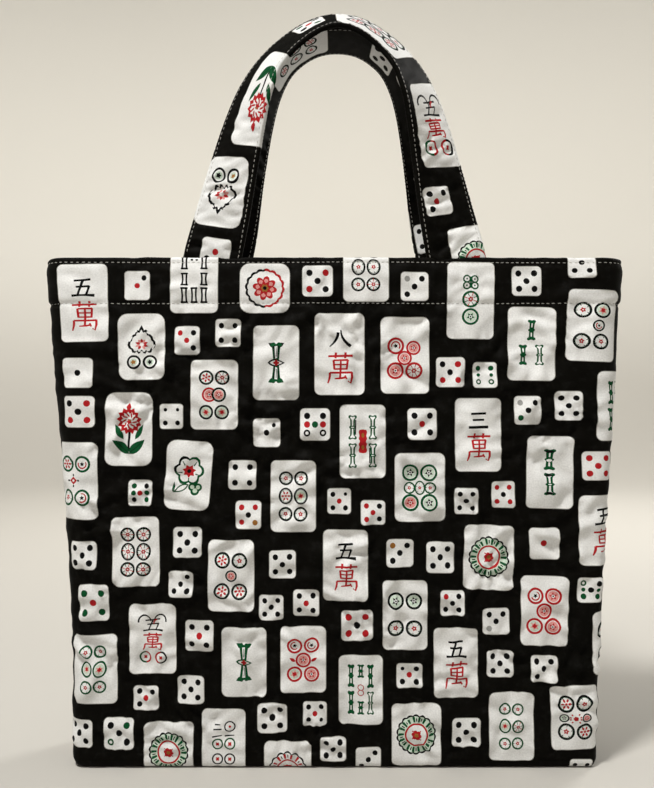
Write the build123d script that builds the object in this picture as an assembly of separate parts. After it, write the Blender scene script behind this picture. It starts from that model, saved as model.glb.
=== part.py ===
from build123d import *
import math
import os

# Quilted tote bag with two strap handles, standing on its boxed bottom, handles up.
# Millimetres. +Z up, front panel towards -Y, origin at the centre of the underside.
# The bag is a sandwich of printed outer cloth, batting and lining, sewn from a front and
# a back half. The halves meet in a seam down each side and one along the underside. Each
# half is divided where it folds up from the base, because there it swings as the mouth
# opens.

# ---- driving dimensions -------------------------------------------------------
# height, half width, half depth, corner radius of the outer surface
PROFILE = [
    (6.0, 182.0, 30.0, 10.0),
    (60.0, 183.2, 29.6, 14.0),
    (120.0, 186.7, 28.4, 18.0),
    (185.0, 192.0, 26.6, 21.0),
    (250.0, 197.8, 24.4, 22.0),
    (300.0, 202.1, 22.6, 21.0),
    (317.5, 203.4, 22.0, 20.6),
    (353.0, 206.2, 20.6, 19.5),
]
Z_FOLD = 6.0          # where the walls fold up from the base
Z_TOP = 353.0         # top edge of the mouth
Z_HEM = 317.5         # lower edge of the turned hem
Z_PLY_TOP = 351.8     # the inner plies stop just under the rolled top edge
T_OUTER = 0.8         # printed outer cloth
T_BATTING = 2.9       # quilt batting
T_PRESSED = 1.2       # the same batting, pressed flat under the hem
T_LINING = 0.8        # lining cloth
T_HEM_BATTING = 2.6   # the turned hem's own batting, which is as thick as a strap's tab
T_FACING = 0.8        # printed cloth turned to the inside of the mouth
PLY_GAP = 0.1
SEAM_GAP = 0.15       # half the gap between the front and back halves
BASE_EDGE_R = 4.0     # roll of the bottom edge
BINDING_W = 9.0       # tape that binds the seam allowances inside
BINDING_T = 1.8
BINDING_GAP = 0.4

STRAP_W = 41.5
STRAP_T = 4.0
STRAP_SKIN = 1.05
STRAP_CORE_GAP = 0.15
Z_STRAP = 354.5       # where the free strap starts, above the tab sewn in the hem
Z_TAB = 325.0         # lower end of the tab
TAB_LEAN = 2.6        # the tab's centre lies this much further out than the strap's
# half of each strap's centre line seen from the front, from the hem to the top: (x, z)
FRONT_ARCH = [
    (85.2, 354.0),
    (80.3, 378.0),
    (74.6, 412.0),
    (69.0, 437.0),
    (62.2, 456.5),
    (55.2, 471.0),
    (47.6, 483.5),
    (38.0, 494.5),
    (26.4, 504.2),
    (13.5, 511.6),
    (0.0, 514.6),
]
BACK_ARCH = [
    (82.8, 354.0),
    (77.3, 380.0),
    (71.2, 412.0),
    (64.7, 440.0),
    (57.7, 465.0),
    (49.7, 486.0),
    (39.6, 502.5),
    (28.2, 512.5),
    (14.8, 519.0),
    (0.0, 521.0),
]
SWAY = 2.6                 # both arches lean this much to the right by the top
FRONT_TURN = 49.0          # how far a strap's face has turned up by the top, degrees
BACK_TURN = 86.0
Y_STRAP = 17.3             # the strap's centre where it leaves the hem
REACH = 39.8               # how far a strap's edge stands out at the top, from the middle

os.makedirs("parts", exist_ok=True)


def save(shape, name):
    export_step(shape, f"parts/{name}.step")


# ---- the quilted shell --------------------------------------------------------
def at(z):
    """Half width, half depth and corner radius of the outer surface at a height."""
    rows = PROFILE
    if z <= rows[0][0]:
        a, b = rows[0], rows[1]
    elif z >= rows[-1][0]:
        a, b = rows[-2], rows[-1]
    else:
        i = max(k for k in range(len(rows) - 1) if rows[k][0] <= z)
        a, b = rows[i], rows[i + 1]
    f = (z - a[0]) / (b[0] - a[0])
    return [a[k] + f * (b[k] - a[k]) for k in (1, 2, 3)]


def heights(z0, z1):
    return [z0] + [r[0] for r in PROFILE if z0 + 0.5 < r[0] < z1 - 0.5] + [z1]


def body(inset, z0, z1):
    """The space inside the outer surface, taken in by inset, from z0 to z1."""
    sections = []
    for z in heights(z0, z1):
        hw, hd, r = at(z)
        sections.append(
            Plane.XY.offset(z)
            * RectangleRounded(2 * (hw - inset), 2 * (hd - inset), r - inset)
        )
    return loft(sections, ruled=True)


def ply(inset, thick, z0, z1):
    return body(inset, z0, z1) - body(inset + thick, z0 - 2.0, z1 + 2.0)


def block(x0, x1, y0, y1, z0, z1):
    return Pos((x0 + x1) / 2, (y0 + y1) / 2, (z0 + z1) / 2) * Box(
        x1 - x0, y1 - y0, z1 - z0
    )


FAR = 400.0
HALVES = {
    "front": block(-FAR, FAR, -FAR, -SEAM_GAP, -10, FAR),
    "back": block(-FAR, FAR, SEAM_GAP, FAR, -10, FAR),
}
ARCHES = {"front": FRONT_ARCH, "back": BACK_ARCH}

in_batting = T_OUTER + PLY_GAP
in_lining = in_batting + T_BATTING + PLY_GAP
in_hem = in_batting + T_PRESSED + PLY_GAP
in_facing = in_hem + T_HEM_BATTING + PLY_GAP

outer = ply(0.0, T_OUTER, Z_FOLD, Z_TOP)
batting = ply(in_batting, T_BATTING, Z_FOLD, Z_HEM - 0.2) + ply(
    in_batting, T_PRESSED, Z_HEM - 0.2, Z_PLY_TOP
)
lining = ply(in_lining, T_LINING, Z_FOLD, Z_HEM - 0.2)
hem_batting = ply(in_hem, T_HEM_BATTING, Z_HEM, Z_PLY_TOP)
facing = ply(in_facing, T_FACING, Z_HEM, Z_TOP)
tab_layer = ply(in_hem, T_HEM_BATTING, Z_TAB, Z_TOP + 0.4)

for side, half in HALVES.items():
    save(outer & half, side + "_panel")
    save(batting & half, side + "_panel_batting")
    save(lining & half, side + "_panel_lining")
    save(facing & half, side + "_hem_facing")
    filling = hem_batting & half
    for sign, hand in ((-1, "left"), (1, "right")):
        xc = sign * (ARCHES[side][0][0] + TAB_LEAN)
        x0, x1 = xc - STRAP_W / 2, xc + STRAP_W / 2
        save(
            tab_layer & half & block(x0, x1, -FAR, FAR, 0, FAR),
            f"{side}_strap_tab_{hand}",
        )
        filling = filling - block(x0 - 0.2, x1 + 0.2, -FAR, FAR, Z_TAB - 0.2, FAR)
    save(filling, side + "_hem_batting")

# ---- the base -----------------------------------------------------------------
hw0, hd0, r0 = PROFILE[0][1:]


def slab(inset, z0, z1, r_low):
    """A rounded rectangle of the base's outline, taken in by inset, with a rolled lower edge."""
    made = extrude(
        Plane.XY.offset(z0)
        * RectangleRounded(2 * (hw0 - inset), 2 * (hd0 - inset), max(r0 - inset, 3.0)),
        amount=z1 - z0,
    )
    if r_low:
        made = fillet(made.faces().sort_by(Axis.Z)[0].edges(), r_low)
    return made


base_top = Z_FOLD - 0.3
base_outer = slab(0.0, 0.0, base_top, BASE_EDGE_R) - slab(
    T_OUTER, T_OUTER, base_top + 5.0, BASE_EDGE_R - T_OUTER
)
z_bb = T_OUTER + PLY_GAP
z_bl = z_bb + T_BATTING + PLY_GAP
base_batting = slab(T_OUTER + 0.4, z_bb, z_bb + T_BATTING, 2.6)
base_lining = slab(T_OUTER + 0.4, z_bl, z_bl + T_LINING, 0)
for side, half in HALVES.items():
    save(base_outer & half, side + "_base_panel")
    save(base_batting & half, side + "_base_batting")
    save(base_lining & half, side + "_base_lining")

# ---- tape that binds the seam allowances inside --------------------------------
z_low = z_bl + T_LINING + 0.1
clear = in_lining + T_LINING + BINDING_GAP
for sign, hand in ((-1, "left"), (1, "right")):
    sections = []
    for z in heights(z_low, Z_HEM - 3.0):
        hw = at(z)[0] if z > Z_FOLD else hw0
        xc = sign * (hw - clear - BINDING_W / 2)
        sections.append(Plane.XY.offset(z) * Pos(xc, 0) * Rectangle(BINDING_W, BINDING_T))
    save(loft(sections, ruled=True), f"{hand}_seam_binding")
half_x = hw0 - clear - BINDING_W - 2.0
save(
    block(-half_x, half_x, -BINDING_T / 2, BINDING_T / 2, z_low, z_low + BINDING_W),
    "base_seam_binding",
)


# ---- the strap handles ---------------------------------------------------------
def arch_line(half, per_span=6):
    """Catmull-Rom line through the arch's points, as (x, z) closely spaced. It starts a
    little below the hem's edge, so that the strap's end can be cut level."""
    (x0, z0), (x1, z1) = half[0], half[1]
    low = (x0 + (x0 - x1) * 0.66, z0 + (z0 - z1) * 0.66)
    left = [(-x, z) for x, z in [low] + half]
    right = [(x, z) for x, z in reversed(([low] + half)[:-1])]
    p = left + right
    p = [(2 * p[0][0] - p[1][0], 2 * p[0][1] - p[1][1])] + p
    p = p + [(2 * p[-1][0] - p[-2][0], 2 * p[-1][1] - p[-2][1])]
    made = []
    for i in range(1, len(p) - 2):
        a, b, c, d = p[i - 1], p[i], p[i + 1], p[i + 2]
        for k in range(per_span):
            t = k / per_span
            made.append(
                tuple(
                    0.5
                    * (
                        2 * b[j]
                        + (c[j] - a[j]) * t
                        + (2 * a[j] - 5 * b[j] + 4 * c[j] - d[j]) * t * t
                        + (3 * b[j] - a[j] - 3 * c[j] + d[j]) * t**3
                    )
                    for j in (0, 1)
                )
            )
    made.append(p[-2])
    top = half[-1][1]
    return [(x + SWAY * max(0.0, (z - Z_TOP) / (top - Z_TOP)) ** 1.5, z) for x, z in made]


def strap_planes(side, count):
    """Planes across the strap: x_dir runs across its width and z_dir along it. Each
    strap faces straight out where it leaves the hem and turns face up as it climbs."""
    front = side == "front"
    face = -1 if front else 1
    line = arch_line(ARCHES[side])
    z_apex = ARCHES[side][-1][1]
    turn = math.radians(FRONT_TURN if front else BACK_TURN)
    y_top = REACH - (STRAP_W / 2 * math.sin(turn) + STRAP_T / 2 * math.cos(turn))
    run = [0.0]
    for a, b in zip(line, line[1:]):
        run.append(run[-1] + math.dist(a, b))
    total = run[-1]
    planes = []
    for n in range(count):
        s = total * n / (count - 1)
        i = min(max(k for k in range(len(run)) if run[k] <= s + 1e-9), len(run) - 2)
        f = (s - run[i]) / (run[i + 1] - run[i])
        x, z = (line[i][j] + f * (line[i + 1][j] - line[i][j]) for j in (0, 1))
        lo, hi = max(i - 2, 0), min(i + 3, len(line) - 1)
        tx, tz = line[hi][0] - line[lo][0], line[hi][1] - line[lo][1]
        size = math.hypot(tx, tz)
        tx, tz = tx / size, tz / size
        nx, nz = -tz, tx          # outwards from the arch
        climb = max(0.0, min(1.0, (z - Z_TOP) / (z_apex - Z_TOP)))
        if front:
            share = math.sin(math.pi / 2 * min(1.0, climb / 0.62))
        else:
            share = climb**0.85
        phi = turn * share
        y = face * (Y_STRAP + (y_top - Y_STRAP) * share)
        out = Vector(math.sin(phi) * nx, face * math.cos(phi), math.sin(phi) * nz)
        along = Vector(tx, 0, tz)
        planes.append(Plane(origin=(x, y, z), x_dir=out.cross(along), z_dir=along))
    return planes


def bar(planes, w, t):
    return loft([p * Rectangle(w, t) for p in planes], ruled=True)


above = block(-FAR, FAR, -FAR, FAR, Z_STRAP, 800)
hollow = 2 * STRAP_SKIN
solid = 2 * (STRAP_SKIN + STRAP_CORE_GAP)
for side in ("front", "back"):
    planes = strap_planes(side, 31)
    cover = bar(planes, STRAP_W, STRAP_T) - bar(planes, STRAP_W - hollow, STRAP_T - hollow)
    save(cover & above, side + "_strap")
    save(bar(planes, STRAP_W - solid, STRAP_T - solid) & above, side + "_strap_core")
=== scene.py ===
import math

import bpy
import numpy as np
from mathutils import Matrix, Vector
from mathutils.geometry import delaunay_2d_cdt
from mathutils.kdtree import KDTree


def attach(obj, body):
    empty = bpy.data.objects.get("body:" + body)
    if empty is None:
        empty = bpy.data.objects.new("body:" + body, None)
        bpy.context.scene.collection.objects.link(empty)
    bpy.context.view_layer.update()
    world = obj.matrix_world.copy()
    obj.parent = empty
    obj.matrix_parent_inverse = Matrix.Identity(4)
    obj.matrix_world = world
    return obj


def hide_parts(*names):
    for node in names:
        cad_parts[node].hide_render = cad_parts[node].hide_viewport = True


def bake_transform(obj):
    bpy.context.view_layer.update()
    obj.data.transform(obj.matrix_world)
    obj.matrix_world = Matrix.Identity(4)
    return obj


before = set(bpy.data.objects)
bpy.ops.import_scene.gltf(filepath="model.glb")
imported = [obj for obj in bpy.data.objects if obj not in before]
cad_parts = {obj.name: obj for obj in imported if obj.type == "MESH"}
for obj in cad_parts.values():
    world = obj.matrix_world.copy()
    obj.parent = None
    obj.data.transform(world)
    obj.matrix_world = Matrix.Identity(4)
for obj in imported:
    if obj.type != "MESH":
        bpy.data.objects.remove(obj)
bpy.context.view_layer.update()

# Lengths below are millimetres in the frame's axes, and meshes are made in metres.
MM = 0.001

# ---- driving dimensions, as in the frame ----------------------------------------
# height, half width, half depth, corner radius of the outer surface
PROFILE = np.array([
    (6.0, 182.0, 30.0, 10.0),
    (60.0, 183.2, 29.6, 14.0),
    (120.0, 186.7, 28.4, 18.0),
    (185.0, 192.0, 26.6, 21.0),
    (250.0, 197.8, 24.4, 22.0),
    (300.0, 202.1, 22.6, 21.0),
    (317.5, 203.4, 22.0, 20.6),
    (353.0, 206.2, 20.6, 19.5),
])
Z_TOP = 353.0
Z_HEM = 317.5
STITCH_TOP = 349.2     # the two topstitched lines of the hem
STITCH_LOW = 320.5
ROLL = 2.85            # half the thickness of the turned top edge
FOLD = 5.0             # roll of the bottom edge
U_SEAM = 208.0         # half the width of a wall laid flat, to its side seam
V_ROLL = Z_TOP - ROLL
V_LOW = -6.0
V_HIGH = V_ROLL + math.pi * ROLL + (V_ROLL - Z_HEM)
STRAP_W = 41.5
STRAP_T = 4.0
FRONT_ARCH = [(85.2, 354.0), (80.3, 378.0), (74.6, 412.0), (69.0, 437.0), (62.2, 456.5),
              (55.2, 471.0), (47.6, 483.5), (38.0, 494.5), (26.4, 504.2), (13.5, 511.6),
              (0.0, 514.6)]
BACK_ARCH = [(82.8, 354.0), (77.3, 380.0), (71.2, 412.0), (64.7, 440.0), (57.7, 465.0),
             (49.7, 486.0), (39.6, 502.5), (28.2, 512.5), (14.8, 519.0), (0.0, 521.0)]
SWAY = 2.6
FRONT_TURN = 49.0
BACK_TURN = 86.0
Y_STRAP = 17.3
REACH = 39.8

# ---- the print's colours ----------------------------------------------------------
GROUND, WHITE, INK, RED, GREEN, GREY, GOLD, RIM, PINK, PALE = range(10)
PALETTE = np.array([
    (0.0032, 0.0029, 0.0021, 1.0),
    (0.770, 0.772, 0.765, 1.0),
    (0.0050, 0.0050, 0.0050, 1.0),
    (0.400, 0.015, 0.019, 1.0),
    (0.005, 0.068, 0.022, 1.0),
    (0.300, 0.300, 0.290, 1.0),
    (0.300, 0.130, 0.030, 1.0),
    (0.430, 0.420, 0.390, 1.0),
    (0.660, 0.290, 0.270, 1.0),
    (0.540, 0.640, 0.540, 1.0),
])


def ramp(a, b, x):
    t = np.clip((np.asarray(x, float) - a) / (b - a), 0.0, 1.0)
    return t * t * (3 - 2 * t)


def bell(x, centre, width):
    return np.exp(-(((x - centre) / width) ** 2))


class Waves:
    """A sum of cosines with wavelengths in a band: smooth, repeatable unevenness."""

    def __init__(self, seed, count, shortest, longest):
        rng = np.random.default_rng(seed)
        angle = (np.arange(count) + rng.random(count)) / count * math.pi
        k = 2 * math.pi / (shortest + (longest - shortest) * rng.random(count))
        self.kx, self.ky = k * np.cos(angle), k * np.sin(angle)
        self.phase = rng.random(count) * 2 * math.pi
        self.scale = math.sqrt(2.0 / count)

    def __call__(self, u, v):
        a = np.multiply.outer(u, self.kx) + np.multiply.outer(v, self.ky) + self.phase
        return np.cos(a).sum(-1) * self.scale


# ---- the printed motifs -------------------------------------------------------------
def ellipse(cx, cy, rx, ry=None, n=16, turn=0.0):
    ry = rx if ry is None else ry
    a = np.arange(n) / n * 2 * math.pi
    x, y = rx * np.cos(a), ry * np.sin(a)
    c, s = math.cos(turn), math.sin(turn)
    return np.stack([cx + x * c - y * s, cy + x * s + y * c], 1)


def rounded(w, h, r, n=5):
    pts = []
    for cx, cy, a0 in ((w / 2 - r, h / 2 - r, 0), (-w / 2 + r, h / 2 - r, 90),
                       (-w / 2 + r, -h / 2 + r, 180), (w / 2 - r, -h / 2 + r, 270)):
        for k in range(n):
            a = math.radians(a0 + 90 * k / (n - 1))
            pts.append((cx + r * math.cos(a), cy + r * math.sin(a)))
    return np.array(pts)


def petals(cx, cy, r, count, deep, turn=0.0, n=6):
    """A flower's outline: a circle whose radius swells once for each petal."""
    a = np.arange(count * n) / (count * n) * 2 * math.pi
    rr = r * (1 - deep + deep * np.abs(np.sin(count * a / 2)))
    return np.stack([cx + rr * np.cos(a + turn), cy + rr * np.sin(a + turn)], 1)


def spiky(cx, cy, r, count, deep, turn=0.0):
    a = np.arange(count * 2) / (count * 2) * 2 * math.pi + turn
    rr = np.where(np.arange(count * 2) % 2 == 0, r, r * (1 - deep))
    return np.stack([cx + rr * np.cos(a), cy + rr * np.sin(a)], 1)


def leaf(x0, y0, x1, y1, wide, n=7):
    t = np.linspace(0, 1, n)
    d = np.array([x1 - x0, y1 - y0])
    side = np.array([-d[1], d[0]]) / np.hypot(*d)
    mid = np.array([x0, y0]) + t[:, None] * d
    swell = (np.sin(math.pi * t**0.8) * wide)[:, None] * side
    return np.concatenate([mid + swell, (mid - swell)[1:-1][::-1]])


def brush(pts, w0, w1=None, wm=None):
    """One brush stroke along pts, w0 wide where it starts, wm in its middle, w1 at its end."""
    p = np.array(pts, float)
    w1 = w0 if w1 is None else w1
    wm = (w0 + w1) / 2 if wm is None else wm
    seg = np.concatenate([[0], np.cumsum(np.hypot(*np.diff(p, axis=0).T))])
    f = seg / seg[-1]
    w = np.interp(f, [0, 0.5, 1], [w0, wm, w1]) / 2
    d = np.gradient(p, axis=0)
    d /= np.maximum(np.hypot(d[:, 0], d[:, 1])[:, None], 1e-9)
    n = np.stack([-d[:, 1], d[:, 0]], 1)
    return np.concatenate([p + n * w[:, None], (p - n * w[:, None])[::-1]])


# Strokes of the plain numerals in a unit square: points, then widths at start, middle, end
NUMERALS = {
    "1": [([(0.04, 0.50), (0.50, 0.53), (0.96, 0.52)], 0.13, 0.08, 0.14)],
    "2": [([(0.18, 0.74), (0.82, 0.77)], 0.12, 0.08, 0.12),
          ([(0.03, 0.20), (0.97, 0.22)], 0.14, 0.09, 0.15)],
    "3": [([(0.14, 0.88), (0.86, 0.91)], 0.12, 0.08, 0.12),
          ([(0.22, 0.52), (0.78, 0.54)], 0.11, 0.07, 0.11),
          ([(0.02, 0.10), (0.98, 0.12)], 0.14, 0.09, 0.15)],
    "5": [([(0.12, 0.88), (0.84, 0.95)], 0.11, 0.08, 0.12),
          ([(0.50, 0.92), (0.38, 0.50), (0.27, 0.10)], 0.13, 0.10, 0.10),
          ([(0.20, 0.54), (0.78, 0.58)], 0.10, 0.08, 0.11),
          ([(0.76, 0.60), (0.70, 0.34), (0.63, 0.10)], 0.13, 0.10, 0.10),
          ([(0.00, 0.06), (0.50, 0.09), (1.00, 0.06)], 0.13, 0.09, 0.16)],
    "8": [([(0.42, 0.80), (0.32, 0.42), (0.04, 0.06)], 0.15, 0.12, 0.05),
          ([(0.54, 0.92), (0.64, 0.46), (0.98, 0.08)], 0.06, 0.13, 0.15)],
    "9": [([(0.36, 0.96), (0.34, 0.50), (0.04, 0.08)], 0.14, 0.11, 0.05),
          ([(0.10, 0.66), (0.66, 0.70)], 0.10, 0.08, 0.10),
          ([(0.66, 0.72), (0.64, 0.30), (0.74, 0.10), (0.97, 0.12), (0.97, 0.28)],
           0.13, 0.11, 0.08)],
    "wan": [([(0.04, 0.865), (0.96, 0.885)], 0.06, 0.05, 0.07),
            ([(0.33, 0.99), (0.31, 0.80)], 0.07, 0.07, 0.06),
            ([(0.69, 0.99), (0.67, 0.80)], 0.07, 0.07, 0.06),
            ([(0.24, 0.745), (0.27, 0.44)], 0.065, 0.06, 0.06),
            ([(0.25, 0.735), (0.78, 0.745)], 0.05, 0.05, 0.06),
            ([(0.77, 0.755), (0.73, 0.44)], 0.065, 0.06, 0.06),
            ([(0.27, 0.595), (0.74, 0.60)], 0.045, 0.045, 0.045),
            ([(0.26, 0.455), (0.74, 0.46)], 0.05, 0.05, 0.05),
            ([(0.51, 0.745), (0.50, 0.40), (0.48, 0.16)], 0.055, 0.06, 0.06),
            ([(0.10, 0.34), (0.09, 0.18), (0.02, 0.00)], 0.065, 0.065, 0.04),
            ([(0.10, 0.335), (0.93, 0.345)], 0.055, 0.05, 0.065),
            ([(0.92, 0.36), (0.93, 0.18), (0.88, 0.01), (0.78, 0.07)], 0.07, 0.07, 0.04),
            ([(0.28, 0.15), (0.50, 0.16), (0.68, 0.19)], 0.04, 0.055, 0.06),
            ([(0.66, 0.25), (0.73, 0.13)], 0.05, 0.06, 0.05)],
}

BONE = np.array([(-1, 1), (-0.62, 1.07), (0, 0.98), (0.62, 1.07), (1, 1), (1.02, 0.84),
                 (0.70, 0.72), (0.60, 0.56), (0.56, 0.14), (0.80, 0.06), (0.80, -0.06),
                 (0.56, -0.14), (0.60, -0.56), (0.62, -0.72), (1.02, -0.84), (1, -1),
                 (0.62, -1.07), (0, -0.98), (-0.62, -1.07), (-1, -1), (-1.02, -0.84),
                 (-0.62, -0.72), (-0.60, -0.56), (-0.56, -0.14), (-0.80, -0.06), (-0.80, 0.06),
                 (-0.56, 0.14), (-0.60, 0.56), (-0.62, 0.72), (-1.02, 0.84)])

BONE_INSIDE = np.array([(-0.60, 0.90), (-0.30, 0.93), (0, 0.87), (0.30, 0.93), (0.60, 0.90),
                        (0.56, 0.81), (0.24, 0.68), (0.18, 0.54), (0.16, 0.12), (0.16, -0.12),
                        (0.18, -0.54), (0.24, -0.68), (0.56, -0.81), (0.60, -0.90),
                        (0.30, -0.93), (0, -0.87), (-0.30, -0.93), (-0.60, -0.90),
                        (-0.56, -0.81), (-0.24, -0.68), (-0.18, -0.54), (-0.16, -0.12),
                        (-0.16, 0.12), (-0.18, 0.54), (-0.24, 0.68), (-0.56, 0.81)])


def shrink(pts, d):
    """An outline moved in by d, near enough for small motifs."""
    p = np.asarray(pts, float)
    if (p[:, 0] * np.roll(p, -1, 0)[:, 1] - np.roll(p, -1, 0)[:, 0] * p[:, 1]).sum() < 0:
        p = p[::-1]
    e = np.roll(p, -1, 0) - p
    n = np.stack([-e[:, 1], e[:, 0]], 1) / np.maximum(np.hypot(*e.T), 1e-9)[:, None]
    m = n + np.roll(n, 1, 0)
    m /= np.maximum((m * m).sum(1), 0.6)[:, None] / 2
    return p + m * d


class Print:
    """Polygons in the flat plane of a cloth, later ones over earlier ones."""

    def __init__(self):
        self.polys, self.colours, self.boxes = [], [], []
        self.c, self.s, self.x, self.y = 1.0, 0.0, 0.0, 0.0
        self.seen = 0

    def add(self, pts, colour):
        p = np.asarray(pts, float)
        q = np.roll(p, -1, axis=0)
        if (p[:, 0] * q[:, 1] - q[:, 0] * p[:, 1]).sum() < 0:
            p, q = p[::-1], np.roll(p[::-1], -1, axis=0)
        # long edges are cut up so that they follow the cloth's folds
        parts = np.maximum(1, np.round(np.hypot(*(q - p).T) / 2.4).astype(int))
        p = np.concatenate([a + (b - a) * (np.arange(k) / k)[:, None]
                            for a, b, k in zip(p, q, parts)])
        self.polys.append(np.stack([self.x + p[:, 0] * self.c - p[:, 1] * self.s,
                                    self.y + p[:, 0] * self.s + p[:, 1] * self.c], 1))
        self.colours.append(colour)

    def ring(self, cx, cy, r, thick, colour, inside=WHITE, n=20, ry=None):
        ry = r if ry is None else ry
        self.add(ellipse(cx, cy, r, ry, n), colour)
        self.add(ellipse(cx, cy, r - thick, ry - thick, n), inside)

    def arc(self, cx, cy, r, a0, a1, thick, colour, n=8):
        a = np.radians(np.linspace(a0, a1, n))
        self.add(brush(np.stack([cx + r * np.cos(a), cy + r * np.sin(a)], 1), thick, thick * 0.7,
                       thick), colour)

    def wheel(self, cx, cy, r, rim, centre, kind=0, ry=None):
        """A small ornamented circle, as on a circles tile."""
        ry = r if ry is None else ry
        k = ry / r
        kind, self.seen = kind % 6, self.seen + 1
        tilt = 0.7 * self.seen

        def around(f, count, wide, long, colour, lean=0.0):
            for j in range(count):
                a = tilt + j * math.tau / count
                self.add(ellipse(cx + f * r * math.cos(a), cy + f * ry * math.sin(a), long * r,
                                 wide * r, 6, a + lean), colour)

        self.ring(cx, cy, r, (0.23 if rim == INK else 0.27) * r, rim, ry=ry)
        if rim == INK:                      # a fine green line inside the black ring
            self.ring(cx, cy, 0.77 * r, 0.055 * r, GREEN, n=16, ry=0.77 * ry)
        if kind == 0:                       # a coin: a notched ring round a star
            around(0.64, 5, 0.05, 0.12, rim)
            self.add(spiky(cx, cy, 0.37 * r, 5, 0.42, tilt), centre)
            self.add(ellipse(cx, cy, 0.09 * r, n=6), WHITE)
        elif kind == 1:                     # spokes between a ring and a heart
            for j in range(8):
                a = tilt + j * math.tau / 8
                c, s = math.cos(a), math.sin(a)
                u, v = np.array([c, s * k]), np.array([-s, c * k]) * 0.055 * r
                mid = np.array([cx, cy])
                self.add([mid + u * 0.36 * r - v * 0.6, mid + u * 0.80 * r - v,
                          mid + u * 0.80 * r + v, mid + u * 0.36 * r + v * 0.6],
                         rim if j % 2 else centre)
            self.add(spiky(cx, cy, 0.36 * r, 6, 0.36, tilt), centre)
            self.add(ellipse(cx, cy, 0.10 * r, n=6), WHITE)
        elif kind == 2:                     # a tinted disc with a star in it
            self.add(ellipse(cx, cy, 0.66 * r, 0.66 * ry, 14), PINK if centre == RED else PALE)
            self.add(spiky(cx, cy, 0.50 * r, 5, 0.5, tilt), centre)
            self.add(petals(cx, cy, 0.22 * r, 5, 0.3, tilt, 4), WHITE)
            self.add(ellipse(cx, cy, 0.11 * r, n=7), INK if rim == RED else centre)
        elif kind == 3:                     # a rosette
            around(0.43, 6, 0.14, 0.21, centre)
            self.add(petals(cx, cy, 0.22 * r, 5, 0.3, tilt, 4), PINK if centre == RED else PALE)
            self.add(ellipse(cx, cy, 0.12 * r, n=8), centre)
            around(0.66, 3, 0.05, 0.10, rim, 0.9)
        elif kind == 4:                     # a pale disc, a dark star and a coloured heart
            self.add(ellipse(cx, cy, 0.66 * r, 0.66 * ry, 14), PALE)
            self.add(spiky(cx, cy, 0.58 * r, 6, 0.5, tilt), PINK)
            self.add(petals(cx, cy, 0.30 * r, 4, 0.35, tilt, 4), centre)
        else:                               # a coil
            self.arc(cx, cy, 0.50 * r, math.degrees(tilt), math.degrees(tilt) + 230, 0.17 * r,
                     centre, 9)
            self.add(spiky(cx, cy, 0.30 * r, 5, 0.5, tilt), INK if centre == RED else centre)

    def rosette(self, r, rim, spokes, ring, heart, lobes=18):
        """The large circle of a one-circle tile."""
        self.add(petals(0, 0, r, lobes, 0.07, n=5), rim)
        self.add(petals(0, 0, 0.91 * r, lobes, 0.05, n=5), PALE if spokes == GREEN else WHITE)
        for k in range(lobes):
            a = k * math.tau / lobes
            for half, b, near, far, shade in (
                    (0.105, a, 0.61, 0.87, spokes), (0.05, a + math.pi / lobes, 0.66, 0.82, rim)):
                if shade == rim and k % 3 == 2:
                    continue
                if k % 5 == 1:
                    far -= 0.05
                self.add([(near * r * math.cos(b - half), near * r * math.sin(b - half)),
                          (far * r * math.cos(b - half * 0.9), far * r * math.sin(b - half * 0.9)),
                          (far * r * math.cos(b + half * 0.5), far * r * math.sin(b + half * 0.5)),
                          (near * r * math.cos(b + half * 0.4), near * r * math.sin(b + half * 0.4))],
                         shade)
        self.ring(0, 0, 0.575 * r, 0.085 * r, ring, n=28)
        self.add(petals(0, 0, 0.25 * r, 6, 0.22, 0.3, 5), heart)
        for k in range(4):
            a = 0.6 + k * math.tau / 4
            self.add(brush([(0.15 * r * math.cos(a), 0.15 * r * math.sin(a)),
                            (0.30 * r * math.cos(a + 0.2), 0.30 * r * math.sin(a + 0.2))],
                           0.05 * r), heart)
        self.add(petals(0, 0, 0.11 * r, 5, 0.3, 0.3, 4), GOLD if heart == RED else RED)

    def stick(self, cx, cy, w, h, colour, inside=None):
        p = BONE * (w / 2, h / 2 / 1.07) + (cx, cy)
        self.add(p, colour)
        if inside is not None:
            self.add(BONE_INSIDE * (w / 2, h / 2 / 1.07) + (cx, cy), inside)
            self.add(ellipse(cx, cy, 0.44 * w, 0.062 * h, 10), colour)
            self.add(ellipse(cx, cy, 0.20 * w, 0.022 * h, 8), inside)
        else:
            for sy in (-1, 1):
                self.add(rounded(0.16 * w, 0.20 * h, 0.06 * w, 3) + (cx, cy + sy * 0.22 * h), WHITE)

    def beads(self, cx, cy, w, h, colour, heart):
        """A solid stick of three rounded lengths."""
        for sy in (-1, 1):
            y = cy + sy * 0.235 * h
            self.add(np.array([(-0.36 * w, -0.21 * h), (0.36 * w, -0.21 * h), (0.50 * w, -0.13 * h),
                               (0.40 * w, 0), (0.50 * w, 0.15 * h), (0.40 * w, 0.245 * h),
                               (0, 0.265 * h), (-0.40 * w, 0.245 * h), (-0.50 * w, 0.15 * h),
                               (-0.40 * w, 0), (-0.50 * w, -0.13 * h)]) * (1, sy) + (cx, y), colour)
            self.add(ellipse(cx, y + sy * 0.02 * h, 0.17 * w, 0.10 * h, 9), heart)
        self.add(ellipse(cx, cy, 0.40 * w, 0.055 * h, 10), colour)

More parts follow.
